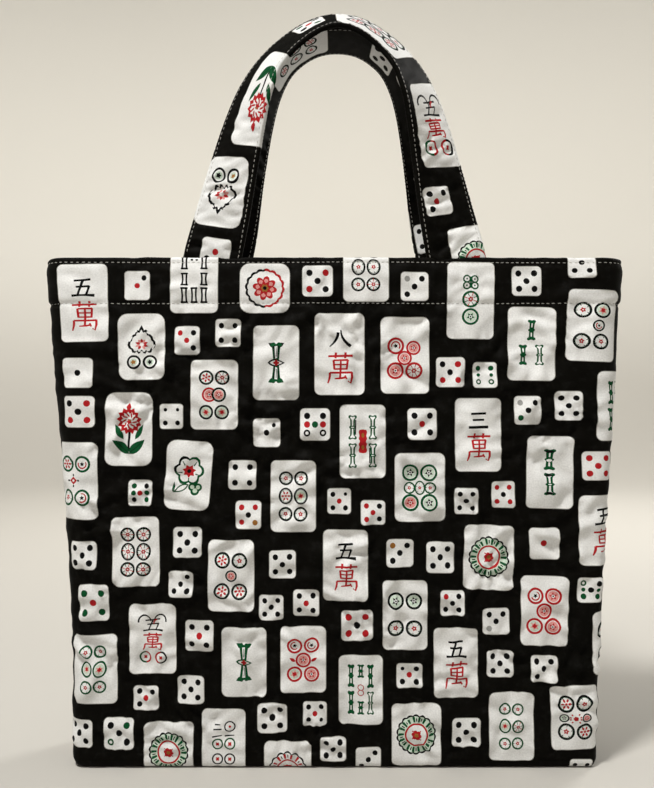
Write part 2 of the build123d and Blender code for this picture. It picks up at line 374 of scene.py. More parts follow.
    def pillar(self, cx, cy, w, h, colour):
        """A stick with flat feet, drawn as two bold lines."""
        for sy in (-1, 1):
            self.add(rounded(w, 0.13 * h, 0.05 * h, 3) + (cx, cy + sy * 0.435 * h), colour)
        self.add([(cx - 0.42 * w, cy - 0.44 * h), (cx + 0.42 * w, cy - 0.44 * h),
                  (cx + 0.36 * w, cy), (cx + 0.42 * w, cy + 0.44 * h),
                  (cx - 0.42 * w, cy + 0.44 * h), (cx - 0.36 * w, cy)], colour)
        self.add([(cx - 0.17 * w, cy - 0.37 * h), (cx + 0.17 * w, cy - 0.37 * h),
                  (cx + 0.12 * w, cy), (cx + 0.17 * w, cy + 0.37 * h),
                  (cx - 0.17 * w, cy + 0.37 * h), (cx - 0.12 * w, cy)], WHITE)

    def glyph(self, key, cx, cy, w, h, colour, bold=1.0):
        for pts, a, m, b in NUMERALS[key]:
            p = (np.array(pts) - 0.5) * (w, h)
            k = (w + h) / 2 * bold
            if len(p) == 3:
                t = np.linspace(0, 1, 6)[:, None]
                ctrl = 2 * p[1] - (p[0] + p[2]) / 2
                p = (1 - t) ** 2 * p[0] + 2 * t * (1 - t) * ctrl + t**2 * p[2]
            self.add(brush(p + (cx, cy), a * k, b * k, m * k), colour)

    # -- whole tiles and dice ---------------------------------------------------------
    def place(self, x, y, turn):
        a = math.radians(turn)
        self.c, self.s, self.x, self.y = math.cos(a), math.sin(a), x, y

    def item(self, kind, x, y, w, h, turn=0.0):
        self.place(x, y, turn)
        a = math.radians(turn)
        bw = abs(w * math.cos(a)) + abs(h * math.sin(a))
        bh = abs(w * math.sin(a)) + abs(h * math.cos(a))
        self.boxes.append((x - bw / 2, x + bw / 2, y - bh / 2, y + bh / 2))
        self.seen = int(abs(x) * 7 + abs(y) * 3) % 11
        die = kind[0] == "d"
        soft = kind in ("F1", "F2", "F3", "Ckr")
        r = min(w, h) * (0.15 if die else 0.2 if soft else 0.125)
        self.add(rounded(w, h, r, 6), RIM)
        self.add(rounded(w - 0.76, h - 0.76, r - 0.38, 6), WHITE)
        {"d": self.die, "n": self.number, "w": self.mixed, "b": self.bamboo, "c": self.circles,
         "C": self.one_circle, "F": self.flower}[kind[0]](kind[1:], w, h)

    def die(self, spots, w, h):
        """spots names the pips row by row: k black, r red, g green, o gold, f grey; small
        ones are s black and h green; v is a green ring, w a black one, and . is none."""
        r = 0.104 * w
        for k, spot in enumerate(spots):
            if spot == ".":
                continue
            x, y = (k % 3 - 1) * 0.262 * w, (1 - k // 3) * 0.262 * h
            colour = {"k": INK, "r": RED, "g": GREEN, "o": GOLD, "f": GREY, "s": INK, "h": GREEN,
                      "v": GREEN, "w": INK}[spot]
            size = r * (0.72 if spot in "sh" else 1.08 if spot in "vw" else 1.0)
            self.add(ellipse(x, y, size, size * 1.05, 12), colour)
            if spot in "vw":
                self.add(ellipse(x, y, size * 0.5, n=8), WHITE)

    def number(self, code, w, h):
        key = code[0]
        self.glyph(key, 0.01 * w, 0.195 * h, 0.45 * w, 0.235 * h, INK, 1.0)
        self.glyph("wan", 0.02 * w, -0.165 * h, 0.53 * w, 0.38 * h, RED, 1.2)

    def mixed(self, code, w, h):
        if code[1:] == "L":
            w = 1.28 * w
        if code[0] == "5":
            for sx in (-1, 1):
                self.arc(sx * 0.165 * w, 0.255 * h, 0.125 * w, 90 - sx * 100, 90 + sx * 95,
                         0.034 * w, INK, 10)
            self.glyph("5", 0.01 * w, 0.195 * h, 0.42 * w, 0.175 * h, INK, 0.8)
            self.arc(0.10 * w, 0.215 * h, 0.08 * w, 100, 190, 0.035 * w, RED, 6)
            self.glyph("wan", 0.0, -0.035 * h, 0.43 * w, 0.24 * h, RED, 1.35)
            for sx in (-1, 1):
                cx = sx * 0.17 * w
                self.ring(cx, -0.27 * h, 0.13 * w, 0.035 * w, GREEN if sx < 0 else INK)
                start = 95 if sx > 0 else -80
                self.arc(cx, -0.27 * h, 0.113 * w, start, start + 165, 0.037 * w, RED, 8)
                self.add(petals(cx, -0.27 * h, 0.045 * w, 4, 0.4, n=3), RED)
        else:
            rows = (0.245, 0.035, -0.175, -0.36)
            self.glyph("2", -0.14 * w, rows[0] * h, 0.20 * w, 0.115 * h, INK, 1.1)
            self.ring(0.14 * w, rows[0] * h, 0.13 * w, 0.03 * w, INK)
            self.add(ellipse(0.14 * w, rows[0] * h, 0.03 * w, n=7), RED)
            for sx in (-1, 1):
                self.add(brush([(sx * 0.14 * w - 0.12 * w, (rows[1] + 0.075) * h),
                                (sx * 0.14 * w + 0.10 * w, (rows[1] + 0.085) * h)], 0.035 * w,
                               0.02 * w), INK)
                for y in rows[1:]:
                    cy = (y - 0.03) * h
                    self.ring(sx * 0.14 * w, cy, 0.13 * w, 0.033 * w, INK if y < 0 else GREEN)
                    self.add(petals(sx * 0.14 * w, cy, 0.05 * w, 4, 0.4, n=3), RED)

    def bamboo(self, code, w, h):
        n = code[0]
        if n == "1":
            dark = code[1:] == "d"
            for sy in (-1, 1):
                top = 0.272 * h * sy
                shade = INK if dark and sy > 0 else GREEN
                self.add([(-0.100 * w, top * 0.86), (-0.02 * w, top * 0.93), (0.02 * w, top * 0.93),
                          (0.100 * w, top * 0.86), (0.082 * w, top * 0.60), (0.070 * w, top * 0.36),
                          (0.060 * w, top * 0.10), (-0.060 * w, top * 0.10),
                          (-0.070 * w, top * 0.36), (-0.082 * w, top * 0.60)], GREEN)
                for sx in (-1, 1):
                    self.add(leaf(sx * 0.025 * w, top * 0.80, sx * 0.172 * w, top * 0.965,
                                  0.050 * w), shade)
                    self.add(ellipse(sx * 0.075 * w, top * 0.90, 0.062 * w, 0.026 * h, 10,
                                     -sx * sy * 0.5), GREEN)
                    self.add(brush([(sx * 0.052 * w, top * 0.78), (sx * 0.034 * w, top * 0.24)],
                                   0.030 * w, 0.022 * w), INK if dark else GREEN)
                self.add([(-0.034 * w, top * 0.80), (0.026 * w, top * 0.82),
                          (0.020 * w, top * 0.24), (-0.018 * w, top * 0.20)], WHITE)
                self.add(brush([(0.0, top * 0.76), (0.006 * w, top * 0.5), (0.0, top * 0.3)],
                               0.012 * w, 0.018 * w), shade)
            self.add(leaf(-0.185 * w, 0.0, 0.185 * w, 0.0, 0.050 * h, 9), INK if dark else GREEN)
            self.add(leaf(-0.135 * w, 0.0, 0.135 * w, 0.0, 0.030 * h, 9), WHITE)
            self.add(petals(0, 0, 0.066 * w, 4, 0.35, 0.8, 4), RED)
        elif n == "2":
            x, y = 0.015 * w, 0.175 * h
            self.stick(x, y, 0.235 * w, 0.295 * h, GREEN)
            self.add(leaf(x - 0.105 * w, y + 0.112 * h, x + 0.105 * w, y + 0.112 * h, 0.020 * h), INK)
            self.add(ellipse(x, y - 0.012 * h, 0.062 * w, 0.020 * h, 9), WHITE)
            y = -0.16 * h
            self.stick(x - 0.01 * w, y, 0.245 * w, 0.305 * h, GREEN, WHITE)
            for sx in (-1, 1):
                self.add(brush([(x - 0.01 * w + sx * 0.055 * w, y - 0.09 * h),
                                (x - 0.01 * w + sx * 0.052 * w, y + 0.09 * h)], 0.030 * w), GREEN)
            for sy in (-1, 1):
                self.add(leaf(x - 0.11 * w, y + sy * 0.120 * h, x + 0.09 * w, y + sy * 0.120 * h,
                              0.018 * h), INK)
        elif n == "3":
            self.stick(0, 0.185 * h, 0.17 * w, 0.28 * h, GREEN)
            for sx in (-1, 1):
                self.stick(sx * 0.17 * w, -0.15 * h, 0.17 * w, 0.28 * h, GREEN,
                           WHITE if sx > 0 else None)
        elif n == "5":
            for sx in (-1, 1):
                for sy in (-1, 1):
                    self.stick(sx * 0.218 * w, sy * 0.19 * h, 0.175 * w, 0.335 * h, GREEN, WHITE)
                    if sx * sy < 0:
                        self.add(brush([(sx * 0.150 * w, sy * 0.29 * h), (sx * 0.155 * w, sy * 0.09 * h)],
                                       0.025 * w), INK)
            self.beads(0.005 * w, 0, 0.185 * w, 0.325 * h, RED, GOLD)
        elif n == "6":
            for sx in (-1, 1):
                for y, tall in ((0.385, 0.195), (0.175, 0.195), (-0.05, 0.17), (-0.262, 0.21)):
                    self.pillar(sx * 0.205 * w, y * h, 0.155 * w, tall * h, INK)
            self.pillar(0, -0.262 * h, 0.155 * w, 0.21 * h, INK)
            for sx in (-1, 1):
                self.add(ellipse(sx * 0.05 * w, 0.21 * h, 0.03 * w, n=7), INK)
        else:
            for sx in (-1, 1):
                for sy in (-1, 1):
                    self.stick(sx * 0.218 * w, sy * 0.192 * h, 0.15 * w, 0.335 * h, GREEN,
                               WHITE if (sx, sy) == (1, -1) else None)
            for sy in (-1, 1):
                self.stick(0, sy * 0.265 * h, 0.15 * w, 0.195 * h, GREEN)
                self.ring(0, sy * 0.04 * h - 0.01 * h, 0.075 * w, 0.02 * w, RED, n=10)

    def circles(self, code, w, h):
        """The number of circles, the colour of their rims, and the ornament in each."""
        n, look = int(code[0]), code[1]
        style = [int(d) for d in code[2:]] or [0, 3, 1, 4, 0, 3]
        rim = {"k": INK, "r": RED, "g": GREEN, "m": INK}[look]
        spots = {
            3: [(0, 0.235), (0, 0.015), (0, -0.21)],
            4: [(-0.205, 0.20), (0.20, 0.20), (-0.205, -0.19), (0.20, -0.19)],
            5: [(-0.19, 0.215), (0.185, 0.215), (0, 0), (-0.20, -0.22), (0.175, -0.22)],
            6: [(-0.165, 0.245), (0.17, 0.245), (-0.165, 0.0), (0.165, 0.0), (-0.17, -0.25),
                (0.16, -0.25)],
            7: [(-0.187, 0.21), (0.18, 0.21), (0, -0.01), (-0.19, -0.22), (0.18, -0.22)],
        }[n]
        r = {3: 0.180, 4: 0.186, 5: 0.174, 6: 0.156, 7: 0.170}[n] * w
        if n == 6 and look == "g":
            spots, r = [(x * 0.85, y) for x, y in spots], 0.134 * w
        if code == "3g":
            for sx in (-1, 1):
                for sy in (-1, 1):
                    cx, cy = sx * 0.085 * w, 0.235 * h + sy * 0.042 * h
                    self.ring(cx, cy, 0.088 * w, 0.034 * w, GREEN, n=12)
                    self.add(ellipse(cx, cy, 0.02 * w, n=6), GREEN)
            self.add([(-0.018 * w, 0.31 * h), (0.018 * w, 0.31 * h), (0.018 * w, 0.16 * h),
                      (-0.018 * w, 0.16 * h)], GREEN)
            self.wheel(0, 0.015 * h, r, GREEN, RED, 1)
            self.wheel(0, -0.21 * h, r, GREEN, GREEN, 2)
            return
        if code == "5r52221":
            spots = [(-0.187, 0.122), (0.175, 0.097), (-0.01, -0.036), (-0.195, -0.20), (0.18, -0.20)]
        if code == "5k04500":
            spots[2] = (0.125, 0.0)
        for k, (fx, fy) in enumerate(spots):
            edge, heart, tall = rim, RED, 1.0
            size = r * (0.86 if code == "5r52221" and k in (1, 2) else 1.0)
            if look == "m" and fy == 0:
                edge, fx = (RED, INK)[fx > 0], fx * 0.62
            if n == 6 and fy == 0 and look != "m":
                tall = 1.18
            if n == 5 and k == 2 and look != "r":
                size = 0.74 * r
            if code == "4k2200" and k < 2 or code == "7g220" and k not in (2, 3):
                heart = INK
            if n == 5 and look == "g" and k == 2:
                # a red lozenge with dark ticks instead of the middle circle
                x, y = fx * w - 0.03 * w, fy * h
                self.add(ellipse(x, y, 0.085 * w, 0.085 * w, 4), RED)
                self.add(ellipse(x, y, 0.028 * w, n=6), WHITE)
                for a in range(4):
                    c, d = math.cos(a * math.pi / 2), math.sin(a * math.pi / 2)
                    self.add(brush([(x + 0.09 * w * c, y + 0.09 * w * d),
                                    (x + 0.135 * w * c, y + 0.135 * w * d)], 0.035 * w), INK)
                continue
            if n == 7 and k == 2 and look == "k":
                # red flecks round a red dot
                self.add(petals(fx * w, fy * h, 0.052 * w, 5, 0.2, n=4), RED)
                for a in (30, 150, 210, 330):
                    for b in (-22, 14):
                        self.arc(fx * w, fy * h + 0.0 * a, 0.105 * w, a + b, a + b + 15, 0.040 * w,
                                 RED, 3)
                continue
            if n == 7 and k == 2 and look == "g":
                size, tall = 0.108 * w, 1.3
            if n == 7 and k == 2 and look == "r":
                edge = RED
            self.wheel(fx * w, fy * h, size, edge, heart, style[k % len(style)], size * tall)
        if n == 7:
            for sx in (-1, 1):
                if look == "g":
                    self.wheel(sx * 0.205 * w, -0.01 * h, 0.118 * w, rim, RED, 0)
                elif look == "k":
                    self.wheel(sx * 0.225 * w, -0.01 * h, 0.100 * w, rim, INK if sx < 0 else RED, 2,
                               0.088 * w)
                else:
                    self.add(leaf(sx * 0.17 * w, -0.03 * h, sx * 0.30 * w, 0.03 * h, 0.035 * w), RED)

    def one_circle(self, code, w, h):
        if code == "g":
            self.rosette(0.41 * w, INK, GREEN, RED, RED)
        elif code == "r":
            self.rosette(0.405 * w, INK, RED, RED, RED, 14)
        else:
            r = 0.398 * w
            outer, inner = petals(0, 0, r, 16, 0.07, 0.1, 4), petals(0, 0, 0.875 * r, 16, 0.05, 0.1, 4)
            self.add(outer, INK)
            half = outer[outer[:, 0] >= -0.02 * r]
            self.add(half[np.argsort(np.arctan2(half[:, 1], half[:, 0]))], RED)
            self.add(inner, WHITE)
            self.add(petals(0, 0, 0.62 * r, 8, 0.30, 0.2, 6), RED)
            self.add(petals(0, 0, 0.47 * r, 8, 0.28, 0.2, 5), PINK)
            self.add(spiky(0, 0, 0.44 * r, 8, 0.45, 0.2), RED)
            self.add(petals(0, 0, 0.20 * r, 6, 0.3, 0.5, 5), GOLD)
            self.add(ellipse(0, 0, 0.10 * r, n=7), INK)

    def flower(self, code, w, h):
        if code == "1":
            # a scalloped bud with a pointed tip
            k = w / 250.0
            half = [(0, 88), (7, 74), (14, 66), (24, 70), (33, 62), (34, 50), (46, 46), (58, 34),
                    (60, 20), (70, 10), (73, -6), (66, -22), (52, -30), (46, -44), (34, -46),
                    (25, -38), (18, -50), (8, -48), (4, -38)]
            bud = np.array([(x, y) for x, y in half] + [(-x, y) for x, y in half[::-1][:-1]]) * k
            bud[:, 1] += 0.045 * h
            mid = np.array([0.0, 0.045 * h])
            self.add((bud - mid) * 1.07 + mid, INK)
            self.add((bud - mid) * (0.87, 0.87) + mid, WHITE)
            for x0, y0, x1, y1 in ((-68, 14, -54, 40), (56, -30, 70, -8), (30, 62, 46, 52),
                                   (-36, 64, -26, 72)):
                self.add(brush([(x0 * k, y0 * k + mid[1]), (x1 * k, y1 * k + mid[1])], 9 * k), WHITE)
            self.add([(0, 100 * k + mid[1]), (-15 * k, 74 * k + mid[1]), (15 * k, 74 * k + mid[1])], INK)
            # loose petals inside it
            for i, a in enumerate((20, 58, 90, 122, 160, 200, 238, 302, 340)):
                c, d = math.cos(math.radians(a)), math.sin(math.radians(a))
                self.add(leaf(9 * k * c, mid[1] + (9 * d - 4) * k, 37 * k * c, mid[1] + (31 * d - 4) * k,
                              7 * k), (RED, PINK)[i % 2])
            for sx, dot in ((-1, GOLD), (1, INK)):
                self.ring(sx * 0.168 * w, -0.232 * h, 0.152 * w, 0.045 * w, INK)
                self.add(ellipse(sx * 0.168 * w, -0.232 * h, 0.080 * w, n=10), PALE)
                self.add(petals(sx * 0.168 * w, -0.232 * h, 0.055 * w, 5, 0.4, n=3), dot)
        elif code == "2":
            self.add(brush([(0, -0.30 * h), (0.005 * w, -0.12 * h), (0, 0.02 * h)],
                           0.055 * w, 0.035 * w), INK)
            for sx in (-1, 1):
                self.add(leaf(0.01 * w, -0.335 * h, sx * 0.325 * w, -0.145 * h, 0.10 * w), GREEN)
                self.add(leaf(sx * 0.13 * w, -0.14 * h, sx * 0.30 * w, 0.065 * h, 0.058 * w), GREEN)
                self.add(brush([(sx * 0.04 * w, -0.31 * h), (sx * 0.17 * w, -0.245 * h),
                                (sx * 0.27 * w, -0.175 * h)], 0.014 * w, 0.008 * w), INK)
            outer = spiky(0, 0.115 * h, 0.27 * w, 13, 0.22, math.pi / 2)
            outer[:, 1] = 0.115 * h + (outer[:, 1] - 0.115 * h) * 1.12
            inner = spiky(0, 0.115 * h, 0.195 * w, 13, 0.25, math.pi / 2 + 0.1)
            self.add(outer, RED)
            self.add(inner, WHITE)
            for k in range(9):
                a = k * math.tau / 9 + 0.4
                self.add(ellipse(0.12 * w * math.cos(a), 0.115 * h + 0.125 * w * math.sin(a),
                                 0.062 * w, 0.020 * w, 6, a + 0.5), RED)
            self.add(petals(0, 0.10 * h, 0.065 * w, 5, 0.4, n=3), RED)
            self.add(ellipse(0.02 * w, 0.12 * h, 0.025 * w, n=6), GOLD)
            self.add(leaf(0, 0.255 * h, 0, 0.355 * h, 0.055 * w), RED)
        else:
            edge = petals(0.01 * w, 0.07 * h, 0.335 * w, 6, 0.22, 0.52, 7)
            rng = np.random.default_rng(4)
            wobble = 1 + rng.uniform(-0.025, 0.025, len(edge))[:, None]
            self.add((edge - edge.mean(0)) * wobble + edge.mean(0), GREEN)
            part = edge[(edge[:, 0] < 0.04 * w) & (edge[:, 1] > 0.02 * h)]
            self.add(part[np.argsort(np.arctan2(part[:, 1] - 0.07 * h, part[:, 0]))], INK)
            self.add((edge - edge.mean(0)) * 0.82 + edge.mean(0), WHITE)
            for a in (0.9, 2.2, 3.4, 4.7, 5.9):
                c, d = math.cos(a), math.sin(a)
                self.add(brush([(0.01 * w + 0.15 * w * c, 0.06 * h + 0.15 * w * d),
                                (0.01 * w + 0.25 * w * c, 0.07 * h + 0.25 * w * d)],
                               0.030 * w, 0.012 * w), GREEN)
            self.add(spiky(0.01 * w, 0.06 * h, 0.150 * w, 7, 0.35, 0.2), RED)
            self.add(ellipse(0.01 * w, 0.06 * h, 0.045 * w, n=8), INK)
            for a, b, wide in (((0.02, -0.13), (-0.30, -0.255), 0.07), ((-0.30, -0.255), (-0.285, -0.10), 0.03)):
                p = leaf(a[0] * w, a[1] * h, b[0] * w, b[1] * h, wide * w)
                self.add(p, GREEN)
                self.add(shrink(p, 0.85), WHITE)
            for cx, cy, rr in ((0.10, -0.165, 0.088), (0.225, -0.165, 0.088), (0.162, -0.222, 0.092)):
                self.add(ellipse(cx * w, cy * h, rr * w, n=14), GREEN)
            for cx, cy, rr in ((0.10, -0.165, 0.045), (0.225, -0.165, 0.045), (0.162, -0.216, 0.050)):
                self.add(ellipse(cx * w, cy * h, rr * w, n=14), PALE)

    def scatter(self, area, seed, tiles=500, dice=1600, turns=(0.0,), keep_off=()):
        """Fills the free room of an area with more tiles and dice, none nearer than its gap."""
        rng = np.random.default_rng(seed)
        u0, u1, v0, v1 = area
        tile_kinds = ["n5", "c4k", "n3", "c5r2", "b1", "c6k", "n8", "c6g111111", "F2", "c7g",
                      "n2", "c5k", "b5", "c3g", "Cg", "b2", "n9", "c6m", "b8", "Ckr", "F3", "w5",
                      "c7r", "b3", "F1", "Cr", "w3", "b6"]
        dice_kinds = ["dk.k.k.k.k", "dk.k...k.k", "dk.k.r.k.k", "d..k.k.k..", "dr.r.k.r.r",
                      "dg.gh.hv.v", "dk.r.k.r.r", "d..k.r....", "d....k....", "dk.k.k.k.k",
                      "dk.k.r.k..", "dg.gkrgk.g", "dr.r.r.r.r", "dk.krgrk.k"]
        boxes = self.boxes + [tuple(b) for b in keep_off]
        at = int(rng.integers(len(tile_kinds)))
        for is_tile, tries in ((True, tiles), (False, dice)):
            for _ in range(tries):
                turn = turns[rng.integers(len(turns))]
                lean = rng.uniform(-2.5, 2.5) if is_tile else rng.uniform(-1.5, 1.5)
                if is_tile:
                    kind = tile_kinds[at % len(tile_kinds)]
                    w, h = rng.uniform(31.0, 34.0), rng.uniform(46.0, 51.0)
                else:
                    kind = dice_kinds[rng.integers(len(dice_kinds))]
                    w = rng.uniform(17.0, 20.0)
                    h = w * rng.uniform(1.0, 1.07)
                bw, bh = (w, h) if turn % 180 == 0 else (h, w)
                x, y = rng.uniform(u0 - 8, u1 + 8), rng.uniform(v0 - 10, v1 + 10)
                gap = 7.0 if is_tile else 5.0
                box = (x - bw / 2, x + bw / 2, y - bh / 2, y + bh / 2)
                if all(box[1] + gap < b[0] or b[1] + gap < box[0]
                       or box[3] + gap < b[2] or b[3] + gap < box[2] for b in boxes):
                    self.item(kind, x, y, w, h, turn + lean)
                    boxes.append(self.boxes[-1])
                    at += is_tile


# Where each tile and die of the front lies: kind, middle, size and turn
FRONT_ITEMS = [
    ("n5", -171.8, 320.8, 30.5, 54.5, 1.5), ("d..k.r....", -137.5, 332.8, 18, 20.5, 0),
    ("b6", -97.8, 340, 33.5, 53, 0), ("Ckr", -48.5, 331, 35, 35, 0),
    ("dk.r.k.r.k", -11.8, 336, 21.5, 22, 0), ("c6k010001", 22, 345.9, 32, 48.9, 0),
    ("df.k.k.k..", 55.8, 332.2, 19.5, 20.5, 0), ("c3g", 94.8, 322.5, 33, 54, -1),
    ("dk.k.k.k.k", 133.8, 336, 20.5, 21, 0), ("dk.k.k.k.k", 169.2, 349.2, 16.7, 22, 0),
    ("F1", -134.1, 290.2, 32.6, 46.3, 1), ("dr.k.r...k", -102.5, 294.5, 18, 20, 0),
    ("dk.k...k.k", -74, 299.8, 18, 19.5, 0), ("b1d", -40.5, 279, 32, 52, 0),
    ("n8", 3.5, 285, 35, 57, 0), ("c5r52221", 49, 284.2, 34, 53.5, 0),
    ("dk.r.k.r.r", 80.5, 272.5, 20, 21, 0), ("dg.gh.hv.v", 104.2, 270.5, 16.5, 18, 0),
    ("b3", 136.8, 292.2, 33, 51.5, -1), ("c5k04500", 175.8, 305, 32.2, 50.3, -2),
    ("d....k....", -176, 272, 20, 21, 0), ("dk.r.k.r.r", -175.5, 245, 21, 22, 0),
    ("F2", -142.3, 233, 32.2, 51, 0), ("ds.s...k.k", -113, 241.8, 16, 17.5, 0),
    ("c6m312244", -83.5, 256.8, 33, 48.5, 0), ("d..s.k....", -47, 230.5, 19, 20, 0),
    ("dk.krgrw.w", -13.5, 236.2, 21, 22.5, 0), ("b5", 19.5, 224.5, 32, 51, 0),
    ("dk.k.r.k.k", 60.8, 236.5, 20.5, 22, 0), ("n3", 99.5, 229, 32, 51, 0),
    ("df.k.k.g..", 133.8, 246, 18.5, 20, 0), ("dk.k.k.k.k", 160.8, 249.2, 17.2, 20.4, 0),
    ("b8", 194.9, 249, 33.5, 48.5, 0), ("b2", 148.5, 203.1, 31.2, 50.3, -1),
    ("dr.r.r.r.r", 179.3, 207.6, 20, 20.2, 0), ("c7g220", 59, 192.8, 35, 47.5, 0),
    ("dk.k.k.k.k", 91.2, 183.2, 16.5, 18.5, 0), ("dr.r.k.r.r", 116.8, 187.8, 16.5, 18.5, 0),
    ("n5", 184.3, 163.2, 34, 48.7, 0.8), ("c5g35405", -179.8, 197.2, 33.5, 53.5, 0),
    ("dg.kgrgk.g", -134.2, 189, 16.5, 18, 0), ("F3", -101.2, 201, 31.8, 48, -4),
    ("dk.k...k.k", -63.8, 201.2, 19.5, 20.5, 0), ("c6k003400", -28.5, 186.8, 31.5, 49.5, 0),
    ("dr.r.k.r.o", -59.5, 173.8, 18, 19.5, 0), ("dk.s.r.k.k", 3.2, 183.5, 16.5, 18, 0),
    ("dr.k.r.r.k", 26.5, 175.5, 17, 17, 0), ("c6k111111", -137.2, 148.5, 33, 48, 1),
    ("dk.k.k.k.k", -101.5, 155, 20, 21, 0), ("dk.k.k.k.k", -174.2, 145.8, 20, 19.5, 0),
    ("d..k.k.k.k", -106, 126.5, 17, 18, 0), ("c5k30233", -71.2, 132.2, 32, 49, 0),
    ("dk.k.k.k.k", -35.8, 140.2, 18.5, 19.5, 0), ("n5", 7.5, 139.5, 31, 49, 0),
    ("do.k.k.k..", 45, 147.8, 19, 19.5, 0), ("dk.k.k.k.k", 72.8, 144.8, 19.5, 21.5, 0),
    ("Cg", 106.5, 144.5, 35, 44.5, -2), ("d....r....", 145.1, 153.9, 20.9, 21.9, 0),
    ("c4k2200", 48.5, 105.2, 31, 48, 0), ("dr.k.k.k.k", 81.2, 113.2, 17, 17.5, 0),
    ("dk.k.k.f..", 111.2, 100.8, 18.5, 18.5, 0), ("c5r52242", 144.6, 107.7, 32.4, 47.6, -1),
    ("dv.khkhg.g", 175.5, 122.1, 18, 17.3, 0), ("dg.g.r.g.g", -166.8, 113.2, 22.5, 25.5, 1),
    ("w5", -125.2, 88.8, 32.5, 48, 1), ("dk.k.r.k.k", -93, 91, 20, 22, 0),
    ("dk.k.k.k.k", -43.5, 110.8, 17, 17.5, 0), ("dk.k.r.k.k", -19.5, 113.8, 18, 18.5, 0),
    ("dr.r.k.r.r", 15.5, 98.2, 22, 21.5, 0), ("b1", -62.2, 73.2, 31, 48, 0),
    ("c7r55242", -21.5, 75, 31.5, 46, 0), ("b8", 18, 54.2, 30.5, 47.5, 0),
    ("ds.k.r.k.k", 51.5, 63.8, 18, 17.5, 0), ("n5", 83.5, 72.2, 30.5, 48.5, 0),
    ("dk.k.k.k.k", 113.8, 71.8, 18.5, 18.5, 0), ("dk.k.k.k..", 144.2, 68.2, 18.5, 18.5, 0),
    ("c4k", 193, 85.7, 33, 43.5, 1), ("c6g004400", -166.5, 67.8, 34, 47.5, 1),
    ("dk.k.r.k..", -129.8, 48, 17.5, 17, 0), ("dk.k.k.k.k", -98.8, 54, 18.8, 19.4, 0),
    ("w3", -76.2, 16.6, 30, 48.9, 0), ("Cg", -114, 11.1, 34, 41.9, 0),
    ("dk.k.k.k.k", -176.5, 24, 20.5, 19.5, 0), ("dk.g.k.v.k", -148.2, 24, 21, 22, 0),
    ("dk.k.k.k.k", -42.8, 34.8, 20.5, 20.5, 0), ("dk.k.r.k.s", -13.5, 37.8, 16.5, 17, 0),
    ("Cr", -32.2, -1.2, 32.5, 40.5, 0), ("dk.k.k.k.k", -1, 13.5, 18, 17, 0),
    ("d..k.k.k..", 23.2, 5.9, 17.5, 18.1, 0), ("Cg", 56.2, 23.1, 34, 43, 0),
    ("dk.k.k.k.k", 90.5, 24.8, 20, 20, 0), ("c6g004100", 121.5, 29, 31, 47, 0),
    ("c7k30103", 165.3, 35.2, 33.6, 44, 1), ("dk.k...k.k", 169.8, -2.8, 16, 18.8, 0),
]
# The same on the front strap, as (along, across) from its left end. On the left leg 90
# turns a tile head down, and on the right leg head up.
STRAP_ITEMS = [
    ("d..k.r....", 19, -1.5, 21, 20, 92), ("F1", 61.5, 3.0, 36, 50, 91), ("F2", 130, -12.0, 38, 70, 90),
    ("dk.g.r.g.k", 193.5, 4.0, 24, 20, -90), ("c6k303030", 237.0, 6.0, 46, 53, 90),
    ("w5L", 313, 4.0, 35, 59, 90), ("dk.k.r.k..", 366, -6, 20, 20, 92), ("Cg", 411, 13.5, 34, 50, 90),
]
# On the back strap, counted round from the middle of its outer face
BACK_STRAP_ITEMS = [
    ("c6k330303", 184.5, 47, 34, 55, 90), ("dk.k.k.k.k", 257.5, 46.0, 25, 22, 90),
    ("n9", 301, 60, 33, 54, -90), ("d..k.k.k..", 359, 42.0, 19, 20, 90),
    ("dk.k...k.k", 397.5, 34.5, 18, 22, 90), ("dk.k.k.k.k", 384, 14.5, 19, 22, 90),
]


# ---- the quilted shell's shape --------------------------------------------------------
_z = np.arange(-20.0, 380.0, 1.0)
_pad = 12
_table = []
for _k in (1, 2, 3):
    _raw = np.interp(_z, PROFILE[:, 0], PROFILE[:, _k])
    _long = np.concatenate([np.full(_pad, _raw[0]), _raw, np.full(_pad, _raw[-1])])
    _table.append(np.convolve(_long, np.hanning(2 * _pad + 1) / np.hanning(2 * _pad + 1).sum(),
                              "valid"))


def section(z):
    """Half width, half depth and corner radius of the outer surface at a height."""
    return [np.interp(z, _z, t) for t in _table]


# how far the right side hangs in or out, by height
RIGHT_EDGE = ([0, 20, 60, 130, 190, 215, 240, 262, 280, 300, 318, 325, 353],
              [-0.9, -0.3, -0.3, -0.2, -0.4, -1.2, -0.9, -0.6, -0.6, -0.4, 0.3, 0.9, 0.0])


